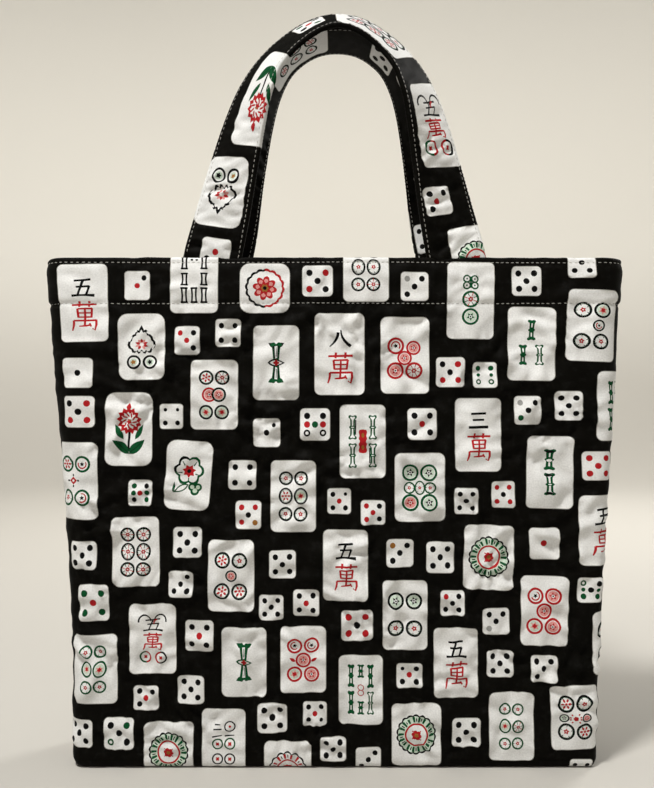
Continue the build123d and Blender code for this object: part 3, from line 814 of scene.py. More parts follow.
def wall(u, v, h, face):
    """A point of a wall's cloth: u along it from its middle, v up from the floor and over
    the top edge, h out from it. face is -1 for the front and 1 for the back."""
    u, v, h = np.broadcast_arrays(np.asarray(u, float), np.asarray(v, float), np.asarray(h, float))
    beta = np.clip((v - V_ROLL) / ROLL, 0, math.pi)
    over = np.maximum(v - (V_ROLL + math.pi * ROLL), 0)
    gamma = np.clip((FOLD - v) / FOLD, 0, math.pi / 2)
    under = np.maximum(FOLD - FOLD * math.pi / 2 - v, 0)
    n = np.where(v < FOLD, -FOLD + (FOLD + h) * np.cos(gamma) - under,
                 -ROLL + (ROLL + h) * np.cos(beta))
    z = np.where(v < FOLD, FOLD - (FOLD + h) * np.sin(gamma),
                 np.where(v > V_ROLL, V_ROLL + (ROLL + h) * np.sin(beta) - over, v))
    hw, hd, r = section(np.clip(z, 6.0, Z_TOP))
    # below the hem the right side is folded more sharply than the left
    sharp = 0.45 + 0.55 * ramp(225, 325, z)
    r = np.where(-face * u > 0, np.maximum(6.8, sharp * r), r)
    a = np.abs(u)
    length = (hw - r) + r * math.pi / 2 + (hd - r)
    a = np.where(a < 150, a, 150 + (a - 150) * (length - 150) / (U_SEAM - 150))
    flat = hw - r
    turn = np.clip((a - flat) / r, 0, math.pi / 2)
    side = np.maximum(a - flat - r * math.pi / 2, 0)
    x = np.minimum(a, flat) + (r + n) * np.sin(turn)
    y = (hd - r) + (r + n) * np.cos(turn) - side
    x = -face * np.sign(u) * x
    x = x + ramp(120, 192, x) * np.interp(z, RIGHT_EDGE[0], RIGHT_EDGE[1])
    return np.stack([x, face * (y + 0.12), z], -1)


class Relief:
    """How a wall's cloth stands out from its smooth surface: quilted puffs between
    meandering lines, small puckers, the hem's band and its two sewn lines."""

    def __init__(self, seed):
        self.line = Waves(seed, 14, 36, 50)
        self.bend_u, self.bend_v = Waves(seed + 1, 6, 40, 90), Waves(seed + 2, 6, 40, 90)
        self.fold = Waves(seed + 3, 18, 15, 28)
        self.fold2 = Waves(seed + 4, 16, 11, 18)
        self.ridge = Waves(seed + 9, 12, 12, 24)
        self.slow = Waves(seed + 5, 7, 130, 260)
        self.patch = Waves(seed + 6, 6, 50, 110)
        self.edge = Waves(seed + 7, 9, 22, 70)
        self.sew = Waves(seed + 8, 8, 7, 15)

    def cloth(self, u, v):
        uu, vv = u + 4 * self.bend_u(u, v), v + 4 * self.bend_v(u, v)
        f = self.line(uu, vv)
        puff = 1 - np.exp(-((f / 0.6) ** 2))
        g = self.ridge(uu, vv)
        crease = 1.03 - np.sqrt(g * g + 0.022)
        tense = 0.65 + 0.35 * np.clip(self.patch(u, v), -1, 1)
        big = 0.70 + 0.18 * ramp(50, 170, v)
        h = 0.8 * puff + big * self.fold(uu, vv) + 0.66 * self.fold2(uu, vv) * tense \
            + 1.4 * crease * tense - 0.7
        low = np.minimum(h + 1.2, 0.0)
        return h - low + 1.2 * np.tanh(low / 1.2) * 0.9

    def __call__(self, u, v):
        h = self.cloth(u, v) + 0.7 * self.slow(u, v) * ramp(0, 60, v)
        in_hem = ramp(316.5, 322.5, v)
        near_sewn = np.maximum(bell(v, STITCH_TOP, 5), bell(v, STITCH_LOW, 6))
        h = h * (1 - 0.45 * in_hem) * (1 - 0.6 * near_sewn)
        h = h * ramp(-3, 16, v)
        seam = U_SEAM - np.abs(u)
        h = h * (0.10 + 0.16 * ramp(0, 13, seam) + 0.74 * ramp(15, 42, seam))
        h = h + (0.30 * self.edge(u, v) - 0.10) * (1 - ramp(2, 26, seam)) * ramp(0, 25, v) \
            * (1 - ramp(330, 352, v))
        h = h - 0.8 * (1 - ramp(0, 2.6, seam)) * ramp(-2, 6, v) * (1 - ramp(340, 352, v))
        corner = 1 - ramp(10, 40, seam)
        h = h + (0.55 + 0.25 * corner) * in_hem * (1 - ramp(344, 350, v))
        h = h - (0.85 + 0.7 * corner) * bell(v, STITCH_LOW, 1.6)
        h = h - 0.55 * bell(v, STITCH_TOP, 1.3)
        h = h + 0.16 * self.sew(u, v * 0.3) * near_sewn
        facing_top = V_ROLL + math.pi * ROLL
        inside = ramp(V_ROLL + 2, facing_top, v)
        h = np.where(v > V_ROLL + ROLL, h * 0.3, h)
        for line in (STITCH_TOP, STITCH_LOW):
            h = h - 0.45 * inside * bell(v, facing_top + (V_ROLL - line), 1.3)
        side_fold = (1 - ramp(24, 30, seam)) * bell(v, 3.0, 1.6)
        return h - 0.9 * side_fold


def jittered(area, step, seed, amount=0.16):
    """Points of a triangular grid over an area, slightly moved."""
    rng = np.random.default_rng(seed)
    u0, u1, v0, v1 = area
    rows = max(2, int(round((v1 - v0) / (step * 0.87))))
    pts = []
    for i in range(1, rows):
        v = v0 + (v1 - v0) * i / rows
        n = max(2, int(round((u1 - u0) / step)))
        off = 0.5 if i % 2 else 0.0
        u = u0 + (u1 - u0) * (np.arange(n) + 0.25 + off) / n
        pts.append(np.stack([u, np.full(n, v)], 1))
    pts = np.concatenate(pts)
    pts = pts + rng.uniform(-amount, amount, pts.shape) * step
    keep = ((pts[:, 0] > u0 + 0.3 * step) & (pts[:, 0] < u1 - 0.3 * step)
            & (pts[:, 1] > v0 + 0.3 * step) & (pts[:, 1] < v1 - 0.3 * step))
    return pts[keep]


def rows_of(area, step, values):
    u0, u1 = area[0], area[1]
    n = int((u1 - u0) / step)
    out = []
    for k, v in enumerate(values):
        u = u0 + (u1 - u0) * (np.arange(n) + (0.3 if k % 2 else 0.7)) / n
        out.append(np.stack([u, np.full(n, v)], 1))
    return np.concatenate(out)


def away_from(points, polys, gap):
    """The points that are at least gap from every outline."""
    dense = []
    for p in polys:
        q = np.roll(p, -1, axis=0)
        for a, b in zip(p, q):
            n = max(1, int(np.hypot(*(b - a)) / (gap * 1.2)))
            dense.append(a + (b - a) * (np.arange(n) / n)[:, None])
    if not dense:
        return points
    dense = np.concatenate(dense)
    tree = KDTree(len(dense))
    for i, (x, y) in enumerate(dense):
        tree.insert((x, y, 0.0), i)
    tree.balance()
    keep = [tree.find((x, y, 0.0))[2] > gap for x, y in points]
    return points[np.array(keep)]


def triangulate(area, polys, free, sides):
    """Triangles of a rectangle of cloth, cut along the print's outlines. Returns points,
    triangles, each one's top polygon (-1 for the ground) and the rim in order."""
    u0, u1, v0, v1 = area
    su, sv = sides
    ring = [(u, v0) for u in su[:-1]] + [(u1, v) for v in sv[:-1]] \
        + [(u, v1) for u in su[::-1][:-1]] + [(u0, v) for v in sv[::-1][:-1]]
    verts = [Vector(p) for p in ring]
    faces = [list(range(len(ring)))]
    for p in polys:
        if p[:, 0].max() < u0 + 0.01 or p[:, 0].min() > u1 - 0.01 \
                or p[:, 1].max() < v0 + 0.01 or p[:, 1].min() > v1 - 0.01:
            faces.append([])
            continue
        q = p.copy()
        q[:, 0] = np.where(np.abs(q[:, 0] - u0) < 0.05, u0 - 0.1, q[:, 0])
        q[:, 0] = np.where(np.abs(q[:, 0] - u1) < 0.05, u1 + 0.1, q[:, 0])
        q[:, 1] = np.where(np.abs(q[:, 1] - v0) < 0.05, v0 - 0.1, q[:, 1])
        q[:, 1] = np.where(np.abs(q[:, 1] - v1) < 0.05, v1 + 0.1, q[:, 1])
        i = len(verts)
        verts.extend(Vector((float(x), float(y))) for x, y in q)
        faces.append(list(range(i, i + len(q))))
    number = [k for k, f in enumerate(faces) if f]
    verts.extend(Vector((float(x), float(y))) for x, y in free)
    out = delaunay_2d_cdt(verts, [], [f for f in faces if f], 1, 1e-4)
    pts = np.array([(p[0], p[1]) for p in out[0]])
    tris, top = [], []
    for f, origin in zip(out[2], out[5]):
        if 0 in origin:
            tris.append(f)
            top.append(number[max(origin)] - 1)
    tris, top = np.array(tris), np.array(top)
    used, back = np.unique(tris, return_inverse=True)
    pts, tris = pts[used], back.reshape(tris.shape)
    eps = 1e-3
    on = {
        0: np.where(np.abs(pts[:, 1] - v0) < eps)[0], 1: np.where(np.abs(pts[:, 0] - u1) < eps)[0],
        2: np.where(np.abs(pts[:, 1] - v1) < eps)[0], 3: np.where(np.abs(pts[:, 0] - u0) < eps)[0],
    }
    rim = []
    rim += list(on[0][np.argsort(pts[on[0], 0])])
    rim += list(on[1][np.argsort(pts[on[1], 1])])[1:]
    rim += list(on[2][np.argsort(-pts[on[2], 0])])[1:]
    rim += list(on[3][np.argsort(-pts[on[3], 1])])[1:-1]
    return pts, tris, top, np.array(rim), on


# ---- meshes -----------------------------------------------------------------------------
def make_mesh(name, pts, faces, colours=None, flat=None, materials=(), slots=None):
    """An object from points in millimetres. colours and flat are per face and per corner."""
    mesh = bpy.data.meshes.new(name)
    mesh.from_pydata([tuple(p) for p in (np.asarray(pts) * MM)], [],
                     [tuple(int(i) for i in f) for f in faces])
    mesh.polygons.foreach_set("use_smooth", [True] * len(mesh.polygons))
    for m in materials:
        mesh.materials.append(m)
    if slots is not None:
        mesh.polygons.foreach_set("material_index", np.asarray(slots, np.int32))
    counts = np.array([len(f) for f in faces])
    if colours is not None:
        layer = mesh.color_attributes.new(name="Print", type="FLOAT_COLOR", domain="CORNER")
        layer.data.foreach_set("color", np.repeat(colours, counts, axis=0).astype(np.float32).ravel())
    if flat is not None:
        layer = mesh.uv_layers.new(name="Cloth")
        corners = np.concatenate([np.asarray(f, int) for f in faces])
        layer.data.foreach_set("uv", (np.asarray(flat)[corners] * MM).astype(np.float32).ravel())
    mesh.update()
    mesh.validate()
    o = bpy.data.objects.new(name, mesh)
    bpy.context.scene.collection.objects.link(o)
    return o


def slab_of_cloth(name, area, art, free, sides, outer, inner, coarse, material, hidden):
    """A closed piece of printed cloth: its printed face, a plain back and the rim between."""
    pts, tris, top, rim, _ = triangulate(area, art.polys, free, sides)
    n = len(pts)
    loop = pts[rim]
    verts = [Vector((float(x), float(y))) for x, y in loop]
    verts += [Vector((float(x), float(y))) for x, y in coarse]
    out = delaunay_2d_cdt(verts, [], [list(range(len(loop)))], 1, 1e-4)
    bpts = np.array([(p[0], p[1]) for p in out[0]])
    btris = np.array(out[2])
    # rim points of the back, matched to the printed face's rim
    tree = KDTree(len(bpts))
    for i, (x, y) in enumerate(bpts):
        tree.insert((x, y, 0.0), i)
    tree.balance()
    match = np.array([tree.find((x, y, 0.0))[1] for x, y in loop])
    xyz = np.concatenate([outer(pts[:, 0], pts[:, 1]), inner(bpts[:, 0], bpts[:, 1])])
    faces = [tuple(t) for t in tris] + [tuple(t[::-1] + n) for t in btris]
    colour = np.concatenate([np.where(top < 0, GROUND, np.array(art.colours + [GROUND])[top]),
                             np.full(len(btris), GROUND)])
    slots = np.concatenate([np.zeros(len(tris), int), np.ones(len(btris), int)])
    quads = []
    for k in range(len(rim)):
        a, b = rim[k], rim[(k + 1) % len(rim)]
        c, d = match[(k + 1) % len(rim)] + n, match[k] + n
        quads.append((b, a, d, c))
    faces += quads
    colour = np.concatenate([colour, np.full(len(quads), GROUND)])
    slots = np.concatenate([slots, np.zeros(len(quads), int)])
    return make_mesh(name, xyz, faces, PALETTE[colour], np.concatenate([pts, bpts]),
                     (material, hidden), slots)


def grid_slab(name, us, vs, outer, inner, material):
    """A closed sheet from a grid of flat points and the two faces' shapes."""
    U, V = np.meshgrid(us, vs)
    nu, nv = len(us), len(vs)
    a = outer(U.ravel(), V.ravel())
    b = inner(U.ravel(), V.ravel())
    flat = np.stack([U.ravel(), V.ravel()], 1)
    faces = []
    for j in range(nv - 1):
        for i in range(nu - 1):
            p = j * nu + i
            faces.append((p, p + 1, p + nu + 1, p + nu))
    m = nu * nv
    faces += [tuple(i + m for i in f[::-1]) for f in faces]
    ring = list(range(nu)) + [j * nu + nu - 1 for j in range(1, nv)] \
        + [m - 1 - i for i in range(1, nu)] + [(nv - 1 - j) * nu for j in range(1, nv - 1)]
    for k in range(len(ring)):
        p, q = ring[k], ring[(k + 1) % len(ring)]
        faces.append((q, p, p + m, q + m))
    return make_mesh(name, np.concatenate([a, b]), faces, None, np.concatenate([flat, flat]),
                     (material,))


def loft(name, rings, material, flat=None):
    """A closed tube through rings of points."""
    rings = np.asarray(rings)
    k, n = rings.shape[:2]
    faces = []
    for j in range(k - 1):
        for i in range(n):
            a, b = j * n + i, j * n + (i + 1) % n
            faces.append((a, b, b + n, a + n))
    faces.append(tuple(range(n))[::-1])
    faces.append(tuple((k - 1) * n + i for i in range(n)))
    pts = rings.reshape(-1, 3)
    if flat is None:
        along = np.repeat(np.arange(k), n) * 4.0
        around = np.tile(np.arange(n), k) * 2.0
        flat = np.stack([along, around], 1)
    return make_mesh(name, pts, faces, None, flat, (material,))


def threads(name, places, ways, ups, material, long=2.35, thick=0.25, seed=5):
    """Stitches: one small rounded bar of thread at each place, along its way."""
    rng = np.random.default_rng(seed)
    ring = [(math.cos(a), math.sin(a)) for a in np.arange(6) / 6 * math.tau]
    pts, faces = [], []
    for p, w, u in zip(places, ways, ups):
        w = w / np.linalg.norm(w)
        u = u - w * np.dot(u, w)
        u = u / np.linalg.norm(u)
        s = np.cross(w, u)
        half = long / 2 * rng.uniform(0.9, 1.08)
        w = w + s * rng.uniform(-0.06, 0.06)
        base = len(pts)
        pts.append(p - w * half - u * 0.22)
        for f, rr, lift in ((-0.78, 0.85, -0.02), (0.0, 1.05, 0.07), (0.78, 0.85, -0.02)):
            for c, d in ring:
                pts.append(p + w * half * f + u * (lift + d * thick * rr) + s * c * thick * rr)
        pts.append(p + w * half - u * 0.22)
        for i in range(6):
            j = (i + 1) % 6
            faces.append((base, base + 1 + i, base + 1 + j))
            for r in (0, 1):
                a = base + 1 + r * 6
                faces.append((a + i, a + 6 + i, a + 6 + j, a + j))
            faces.append((base + 19, base + 13 + j, base + 13 + i))
    pts = np.array(pts)
    return make_mesh(name, pts, faces, None, pts[:, [0, 2]], (material,))


# ---- materials ---------------------------------------------------------------------------
def new_material(name, rough, sheen, sheen_rough, specular):
    m = bpy.data.materials.new(name)
    m.use_nodes = True
    nt = m.node_tree
    nt.nodes.clear()
    out = nt.nodes.new("ShaderNodeOutputMaterial")
    s = nt.nodes.new("ShaderNodeBsdfPrincipled")
    nt.links.new(s.outputs[0], out.inputs[0])
    s.inputs["Roughness"].default_value = rough
    s.inputs["Sheen Weight"].default_value = sheen
    s.inputs["Sheen Roughness"].default_value = sheen_rough
    s.inputs["Specular IOR Level"].default_value = specular
    return m, nt, s


def node(nt, kind, **values):
    n = nt.nodes.new(kind)
    for k, v in values.items():
        if k in n.inputs:
            n.inputs[k].default_value = v
        else:
            setattr(n, k, v)
    return n


def flat_coordinates(nt):
    n = nt.nodes.new("ShaderNodeUVMap")
    n.uv_map = "Cloth"
    return n.outputs[0]


def weave(nt, uv, pitch, depth, strength, slant=0.0):
    """Bump of crossing threads, pitch metres apart, with a little unevenness."""
    bands = []
    for direction in ("X", "Y"):
        w = node(nt, "ShaderNodeTexWave", bands_direction=direction, wave_profile="SIN",
                 Scale=math.pi / 10 / pitch, Distortion=slant or 0.6, Detail=1.0)
        w.inputs["Detail Scale"].default_value = 3.0
        nt.links.new(uv, w.inputs["Vector"])
        bands.append(w)
    mix = node(nt, "ShaderNodeMath", operation="MAXIMUM")
    nt.links.new(bands[0].outputs["Fac"], mix.inputs[0])
    nt.links.new(bands[1].outputs["Fac"], mix.inputs[1])
    fuzz = node(nt, "ShaderNodeTexNoise", Scale=2600.0, Detail=2.0)
    nt.links.new(uv, fuzz.inputs["Vector"])
    add = node(nt, "ShaderNodeMath", operation="MULTIPLY_ADD")
    add.inputs[1].default_value = 0.5
    nt.links.new(fuzz.outputs["Fac"], add.inputs[0])
    nt.links.new(mix.outputs[0], add.inputs[2])
    bump = node(nt, "ShaderNodeBump", Strength=strength, Distance=depth)
    nt.links.new(add.outputs[0], bump.inputs["Height"])
    return bump.outputs["Normal"], add.outputs[0]


def vary(nt, colour, vector, scale, low, high, detail=3.0):
    """Multiplies a colour by soft noise that runs from low to high."""
    n = node(nt, "ShaderNodeTexNoise", Scale=scale, Detail=detail)
    nt.links.new(vector, n.inputs["Vector"])
    r = node(nt, "ShaderNodeMapRange")
    r.inputs["From Min"].default_value = 0.3
    r.inputs["From Max"].default_value = 0.7
    r.inputs["To Min"].default_value = low
    r.inputs["To Max"].default_value = high
    nt.links.new(n.outputs["Fac"], r.inputs["Value"])
    m = node(nt, "ShaderNodeMix", data_type="RGBA", blend_type="MULTIPLY")
    m.inputs["Factor"].default_value = 1.0
    nt.links.new(colour, m.inputs["A"])
    nt.links.new(r.outputs[0], m.inputs["B"])
    return m.outputs["Result"]


def printed_cotton():
    m, nt, s = new_material("printed_cotton", 0.6, 0.006, 0.4, 0.03)
    uv = flat_coordinates(nt)
    ink = node(nt, "ShaderNodeAttribute", attribute_name="Print", attribute_type="GEOMETRY")
    colour = vary(nt, ink.outputs["Color"], uv, 45.0, 0.93, 1.04)
    colour = vary(nt, colour, uv, 900.0, 0.90, 1.07, 2.0)
    # lint and wear: the ground is a little paler in small soft patches
    lint = node(nt, "ShaderNodeTexNoise", Scale=160.0, Detail=5.0, Roughness=0.65)
    nt.links.new(uv, lint.inputs["Vector"])
    r = node(nt, "ShaderNodeMapRange")
    r.inputs["From Min"].default_value = 0.52
    r.inputs["From Max"].default_value = 0.75
    r.inputs["To Min"].default_value = 0.0
    r.inputs["To Max"].default_value = 0.006
    nt.links.new(lint.outputs["Fac"], r.inputs["Value"])
    add = node(nt, "ShaderNodeMix", data_type="RGBA", blend_type="ADD")
    add.inputs["Factor"].default_value = 1.0
    nt.links.new(colour, add.inputs["A"])
    nt.links.new(r.outputs[0], add.inputs["B"])
    normal, _ = weave(nt, uv, 0.00042, 0.00006, 0.35)
    nt.links.new(add.outputs["Result"], s.inputs["Base Color"])
    nt.links.new(normal, s.inputs["Normal"])
    return m


def plain_cloth(name, rgb, pitch, rough=0.85, sheen=0.12, depth=0.00008, strength=0.5, slant=0.0):
    m, nt, s = new_material(name, rough, sheen, 0.5, 0.2)
    uv = flat_coordinates(nt)
    normal, height = weave(nt, uv, pitch, depth, strength, slant)
    # painted shade and highlight: the colour follows the weave's height, darker in the hollows between the
    # threads and lighter on their crowns, with the noise in the height adding a random tone
    tint = node(nt, "ShaderNodeMapRange")
    tint.inputs["To Min"].default_value = 0.75
    tint.inputs["To Max"].default_value = 1.12
    nt.links.new(height, tint.inputs["Value"])
    base = node(nt, "ShaderNodeMix", data_type="RGBA", blend_type="MULTIPLY")
    base.inputs["Factor"].default_value = 1.0
    base.inputs["A"].default_value = (*rgb, 1.0)
    nt.links.new(tint.outputs[0], base.inputs["B"])
    colour = vary(nt, base.outputs["Result"], uv, 60.0, 0.85, 1.15)
    nt.links.new(colour, s.inputs["Base Color"])
    nt.links.new(normal, s.inputs["Normal"])
    return m


def thread_material():
    m, nt, s = new_material("white_thread", 0.55, 0.2, 0.4, 0.3)
    geo = nt.nodes.new("ShaderNodeTexCoord")
    twist = node(nt, "ShaderNodeTexWave", bands_direction="DIAGONAL", Scale=900.0, Distortion=0.4)
    nt.links.new(geo.outputs["Object"], twist.inputs["Vector"])
    # painted shade: the thread is darker in the grooves of its twist, following the same waves as its bump
    r = node(nt, "ShaderNodeMapRange")
    r.inputs["To Min"].default_value = 0.78
    r.inputs["To Max"].default_value = 1.0
    nt.links.new(twist.outputs["Fac"], r.inputs["Value"])
    base = node(nt, "ShaderNodeMix", data_type="RGBA", blend_type="MULTIPLY")
    base.inputs["Factor"].default_value = 1.0
    base.inputs["A"].default_value = (0.46, 0.45, 0.42, 1.0)
    nt.links.new(r.outputs[0], base.inputs["B"])
    nt.links.new(base.outputs["Result"], s.inputs["Base Color"])
    bump = node(nt, "ShaderNodeBump", Strength=0.5, Distance=0.0001)
    nt.links.new(twist.outputs["Fac"], bump.inputs["Height"])
    nt.links.new(bump.outputs["Normal"], s.inputs["Normal"])
    return m


PRINTED = printed_cotton()
LINING = plain_cloth("lining_cotton", (0.020, 0.020, 0.021), 0.00045)
BATTING = plain_cloth("batting_wadding", (0.70, 0.69, 0.65), 0.0011, 0.95, 0.3, 0.0003, 0.8, 6.0)
TAPE = plain_cloth("binding_tape", (0.016, 0.016, 0.017), 0.0006, 0.8, 0.15, 0.00015, 0.7, 1.5)
THREAD = thread_material()


# ---- the walls -----------------------------------------------------------------------------
def blend_wall(o):
    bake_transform(o)


RELIEFS = {"front": Relief(11), "back": Relief(61)}
FACING_TOP = V_ROLL + math.pi * ROLL
WALL_AREA = (-U_SEAM, U_SEAM, V_LOW, V_HIGH)


def outer_wall(side):
    face = -1 if side == "front" else 1
    relief = RELIEFS[side]
    art = Print()
    if side == "front":
        for it in FRONT_ITEMS:
            art.item(*it)
        art.scatter((-U_SEAM, U_SEAM, 358, V_HIGH), 7, 300, 700, (180.0,),
                    [(-300, 300, -50, 351)])
    else:
        art.scatter((-U_SEAM, U_SEAM, V_LOW, 352), 29, 6000, 6000)
        art.scatter((-U_SEAM, U_SEAM, 358, V_HIGH), 9, 200, 500, (180.0,))
    free = [jittered((-U_SEAM, U_SEAM, 6.0, 317.0), 2.7, 3),
            jittered((-U_SEAM, U_SEAM, 322.5, 347.0), 2.7, 4),
            rows_of(WALL_AREA, 2.6, [-4.5, -2.9, -1.4, 0.2, 1.6, 2.6, 3.6, 4.8, 5.9]),
            rows_of(WALL_AREA, 2.4, [317.3, 318.3, 319.1, 319.8, 320.5, 321.2, 321.9, 322.8]),
            rows_of(WALL_AREA, 2.4, [347.2, 348.0, 348.6, 349.2, 349.8, 350.5, 351.5, 352.5, 353.5,
                                     354.5, 355.5, 356.5, 357.5, 358.5, 359.5]),
            jittered((-U_SEAM, U_SEAM, 359.5, V_HIGH), 3.4, 5)]
    free = away_from(np.concatenate(free), art.polys, 0.8)
    # closer together beside the side seams
    vs = np.arange(V_LOW + 2, V_HIGH - 2, 2.2)
    edge = np.concatenate([np.stack([np.full(len(vs), s * (U_SEAM - d)), vs + d], 1)
                           for s in (-1, 1) for d in (0.8, 1.8)])
    free = np.concatenate([free, away_from(edge, art.polys, 0.6)])
    sides = (np.linspace(-U_SEAM, U_SEAM, 170),
             np.unique(np.round(np.concatenate([
                 np.linspace(V_LOW, 5, 8), np.linspace(5, 317, 130), np.linspace(317, 323, 9),
                 np.linspace(323, 347, 11), np.linspace(347, 360, 15), np.linspace(360, V_HIGH, 12)]), 4)))
    coarse = [jittered((-U_SEAM, U_SEAM, 8.0, 345.0), 9.0, 6)]
    coarse.append(rows_of(WALL_AREA, 8.0, [-4.0, -2.0, 0.0, 2.0, 4.0, 6.0, 347.0, 349.0, 350.5,
                                           352.0, 353.5, 355.0, 356.5, 358.0, 359.5, 361.5,
                                           366, 372, 378, 384, 389]))
    coarse = np.concatenate(coarse)
    coarse = coarse[(np.abs(coarse[:, 0]) < U_SEAM - 3)
                    & (coarse[:, 1] > V_LOW + 1.5) & (coarse[:, 1] < V_HIGH - 1.5)]

    def outside(u, v):
        p = wall(u, v, relief(u, v), face)
        p[:, 2] = np.maximum(p[:, 2], 0.05)
        return p

    def inside(u, v):
        slow = 0.7 * relief.slow(u, v) * ramp(0, 60, v) * ramp(0, 30, U_SEAM - np.abs(u))
        slow = np.where(v > 340, 0.0, slow)
        return wall(u, v, -3.1 + slow, face)

    o = slab_of_cloth(side + "_quilted_panel", WALL_AREA, art, free, sides, outside, inside, coarse,
                      PRINTED, BATTING)
    blend_wall(o)
    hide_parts(side + "_panel", side + "_panel_batting", side + "_hem_facing",
                side + "_hem_batting")
    return o


def inner_wall(side):
    face = -1 if side == "front" else 1
    relief = RELIEFS[side]
    us = np.linspace(-U_SEAM + 1.2, U_SEAM - 1.2, 150)
    vs = np.concatenate([np.linspace(4.9, 9, 4), np.linspace(11, 318.2, 112)])

    def quilted(u, v):
        slow = 0.7 * relief.slow(u, v) * ramp(0, 60, v) * ramp(0, 30, U_SEAM - np.abs(u))
        f = relief.line(u + 5 * relief.bend_u(u, v), v + 5 * relief.bend_v(u, v))
        puff = np.exp(-((f / 0.42) ** 2))
        h = 0.55 * puff + 0.16 * relief.fold2(u, v) - 0.35
        return (h + slow) * ramp(4, 20, v) * (1 - ramp(300, 317, v)) * ramp(2, 20, U_SEAM - np.abs(u))

    def inner(u, v):
        return wall(u, np.maximum(v, FOLD + 0.001), -4.95 + quilted(u, v), face)

    def outer(u, v):
        return wall(u, np.maximum(v, FOLD + 0.001), -4.1 + quilted(u, v), face)

    o = grid_slab(side + "_lining", us, vs, outer, inner, LINING)
    blend_wall(o)
    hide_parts(side + "_panel_lining")
    return o


def hem_threads(side):
    """The two lines of topstitching round the hem, outside and inside."""
    face = -1 if side == "front" else 1
    relief = RELIEFS[side]
    places, ways, ups = [], [], []
    facing = V_ROLL + math.pi * ROLL
    for v, seed in ((STITCH_TOP, 1), (STITCH_LOW, 2), (facing + V_ROLL - STITCH_TOP, 3),
                    (facing + V_ROLL - STITCH_LOW, 4)):
        rng = np.random.default_rng(seed)
        u = np.arange(-U_SEAM + 1.7, U_SEAM - 1.2, 3.48)
        u = u + rng.uniform(-0.12, 0.12, len(u))
        vv = v + 0.25 * np.sin(u / 37.0 + seed) + rng.uniform(-0.06, 0.06, len(u))
        h = relief(u, vv)
        p = wall(u, vv, h + 0.02, face)
        d = 0.8
        along = wall(u + d, vv, relief(u + d, vv), face) - wall(u - d, vv, relief(u - d, vv), face)
        up = wall(u, vv, h + 1.0, face) - wall(u, vv, h, face)
        places.append(p), ways.append(along), ups.append(up)
    o = threads(side + "_hem_topstitching", np.concatenate(places), np.concatenate(ways),
                np.concatenate(ups), THREAD, seed=31 if side == "front" else 32)
    blend_wall(o)
    return o


# ---- the base ---------------------------------------------------------------------------------
BASE_X, BASE_Y = 174.4, 22.2


def base_half(side):
    face = -1 if side == "front" else 1
    art = Print()
    art.scatter((-BASE_X, BASE_X, 0, BASE_Y), 41 if side == "front" else 42, 300, 600)
    waves = Relief(21 if side == "front" else 22)
    area = (-BASE_X, BASE_X, 0.0, BASE_Y)
    free = away_from(jittered(area, 3.0, 12), art.polys, 0.8)
    sides = (np.linspace(-BASE_X, BASE_X, 120), np.linspace(0, BASE_Y, 10))
    coarse = jittered(area, 8.0, 13)
    coarse = coarse[(np.abs(coarse[:, 0]) < BASE_X - 3) & (coarse[:, 1] > 2)
                    & (coarse[:, 1] < BASE_Y - 2)]

    def rim(u, v):
        return np.minimum(np.minimum(BASE_X - np.abs(u), BASE_Y - v), 3.0)

    def low(u, v):
        seam = 0.9 * (1 - ramp(0, 2.5, v))
        z = 0.45 - 0.14 * waves.cloth(u, v) + seam
        return np.stack([u * -face, face * (v + 0.1), np.clip(z, 0.1, 2.0)], -1)

    def high(u, v):
        return np.stack([u * -face, face * (v + 0.1), np.full(len(u), 3.7)], -1)

    # seen from below the flat plane is turned over
    def flip(f):
        return lambda u, v: f(-u, v)

    o = slab_of_cloth(side + "_quilted_base", area, art, free, sides, flip(low), flip(high), coarse,
                      PRINTED, BATTING)
    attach(o, "base")
    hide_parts(side + "_base_panel", side + "_base_batting")

    us = np.linspace(-BASE_X - 2.6, BASE_X + 2.6, 120)
    vs = np.linspace(0.1, BASE_Y + 3.2, 12)

    def top(u, v):
        f = waves.line(u, v)
        z = 4.9 + 0.7 * (1 - np.exp(-((f / 0.42) ** 2))) * ramp(0, 5, v)
        z = z - 0.5 * (1 - ramp(0, 2.5, v))
        return np.stack([u, face * v, z], -1)

    def under(u, v):
        return np.stack([u, face * v, np.full(len(u), 4.0)], -1)

    order = (top, under) if face > 0 else (top, under)
    l = grid_slab(side + "_base_lining_cloth", us if face > 0 else us[::-1], vs, *order, LINING)
    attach(l, "base")
    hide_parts(side + "_base_lining")
    return o


# ---- tape over the seam allowances ------------------------------------------------------------
def tape_section(w, t, n=20):
    """A folded tape's cross section: rounded at the fold, a little open at its edges."""
    a = np.arange(n) / n * math.tau
    c, s = np.cos(a), np.sin(a)
    x = w / 2 * np.sign(c) * np.abs(c) ** 0.35
    y = t / 2 * np.sign(s) * np.abs(s) ** 0.6
    return x, y


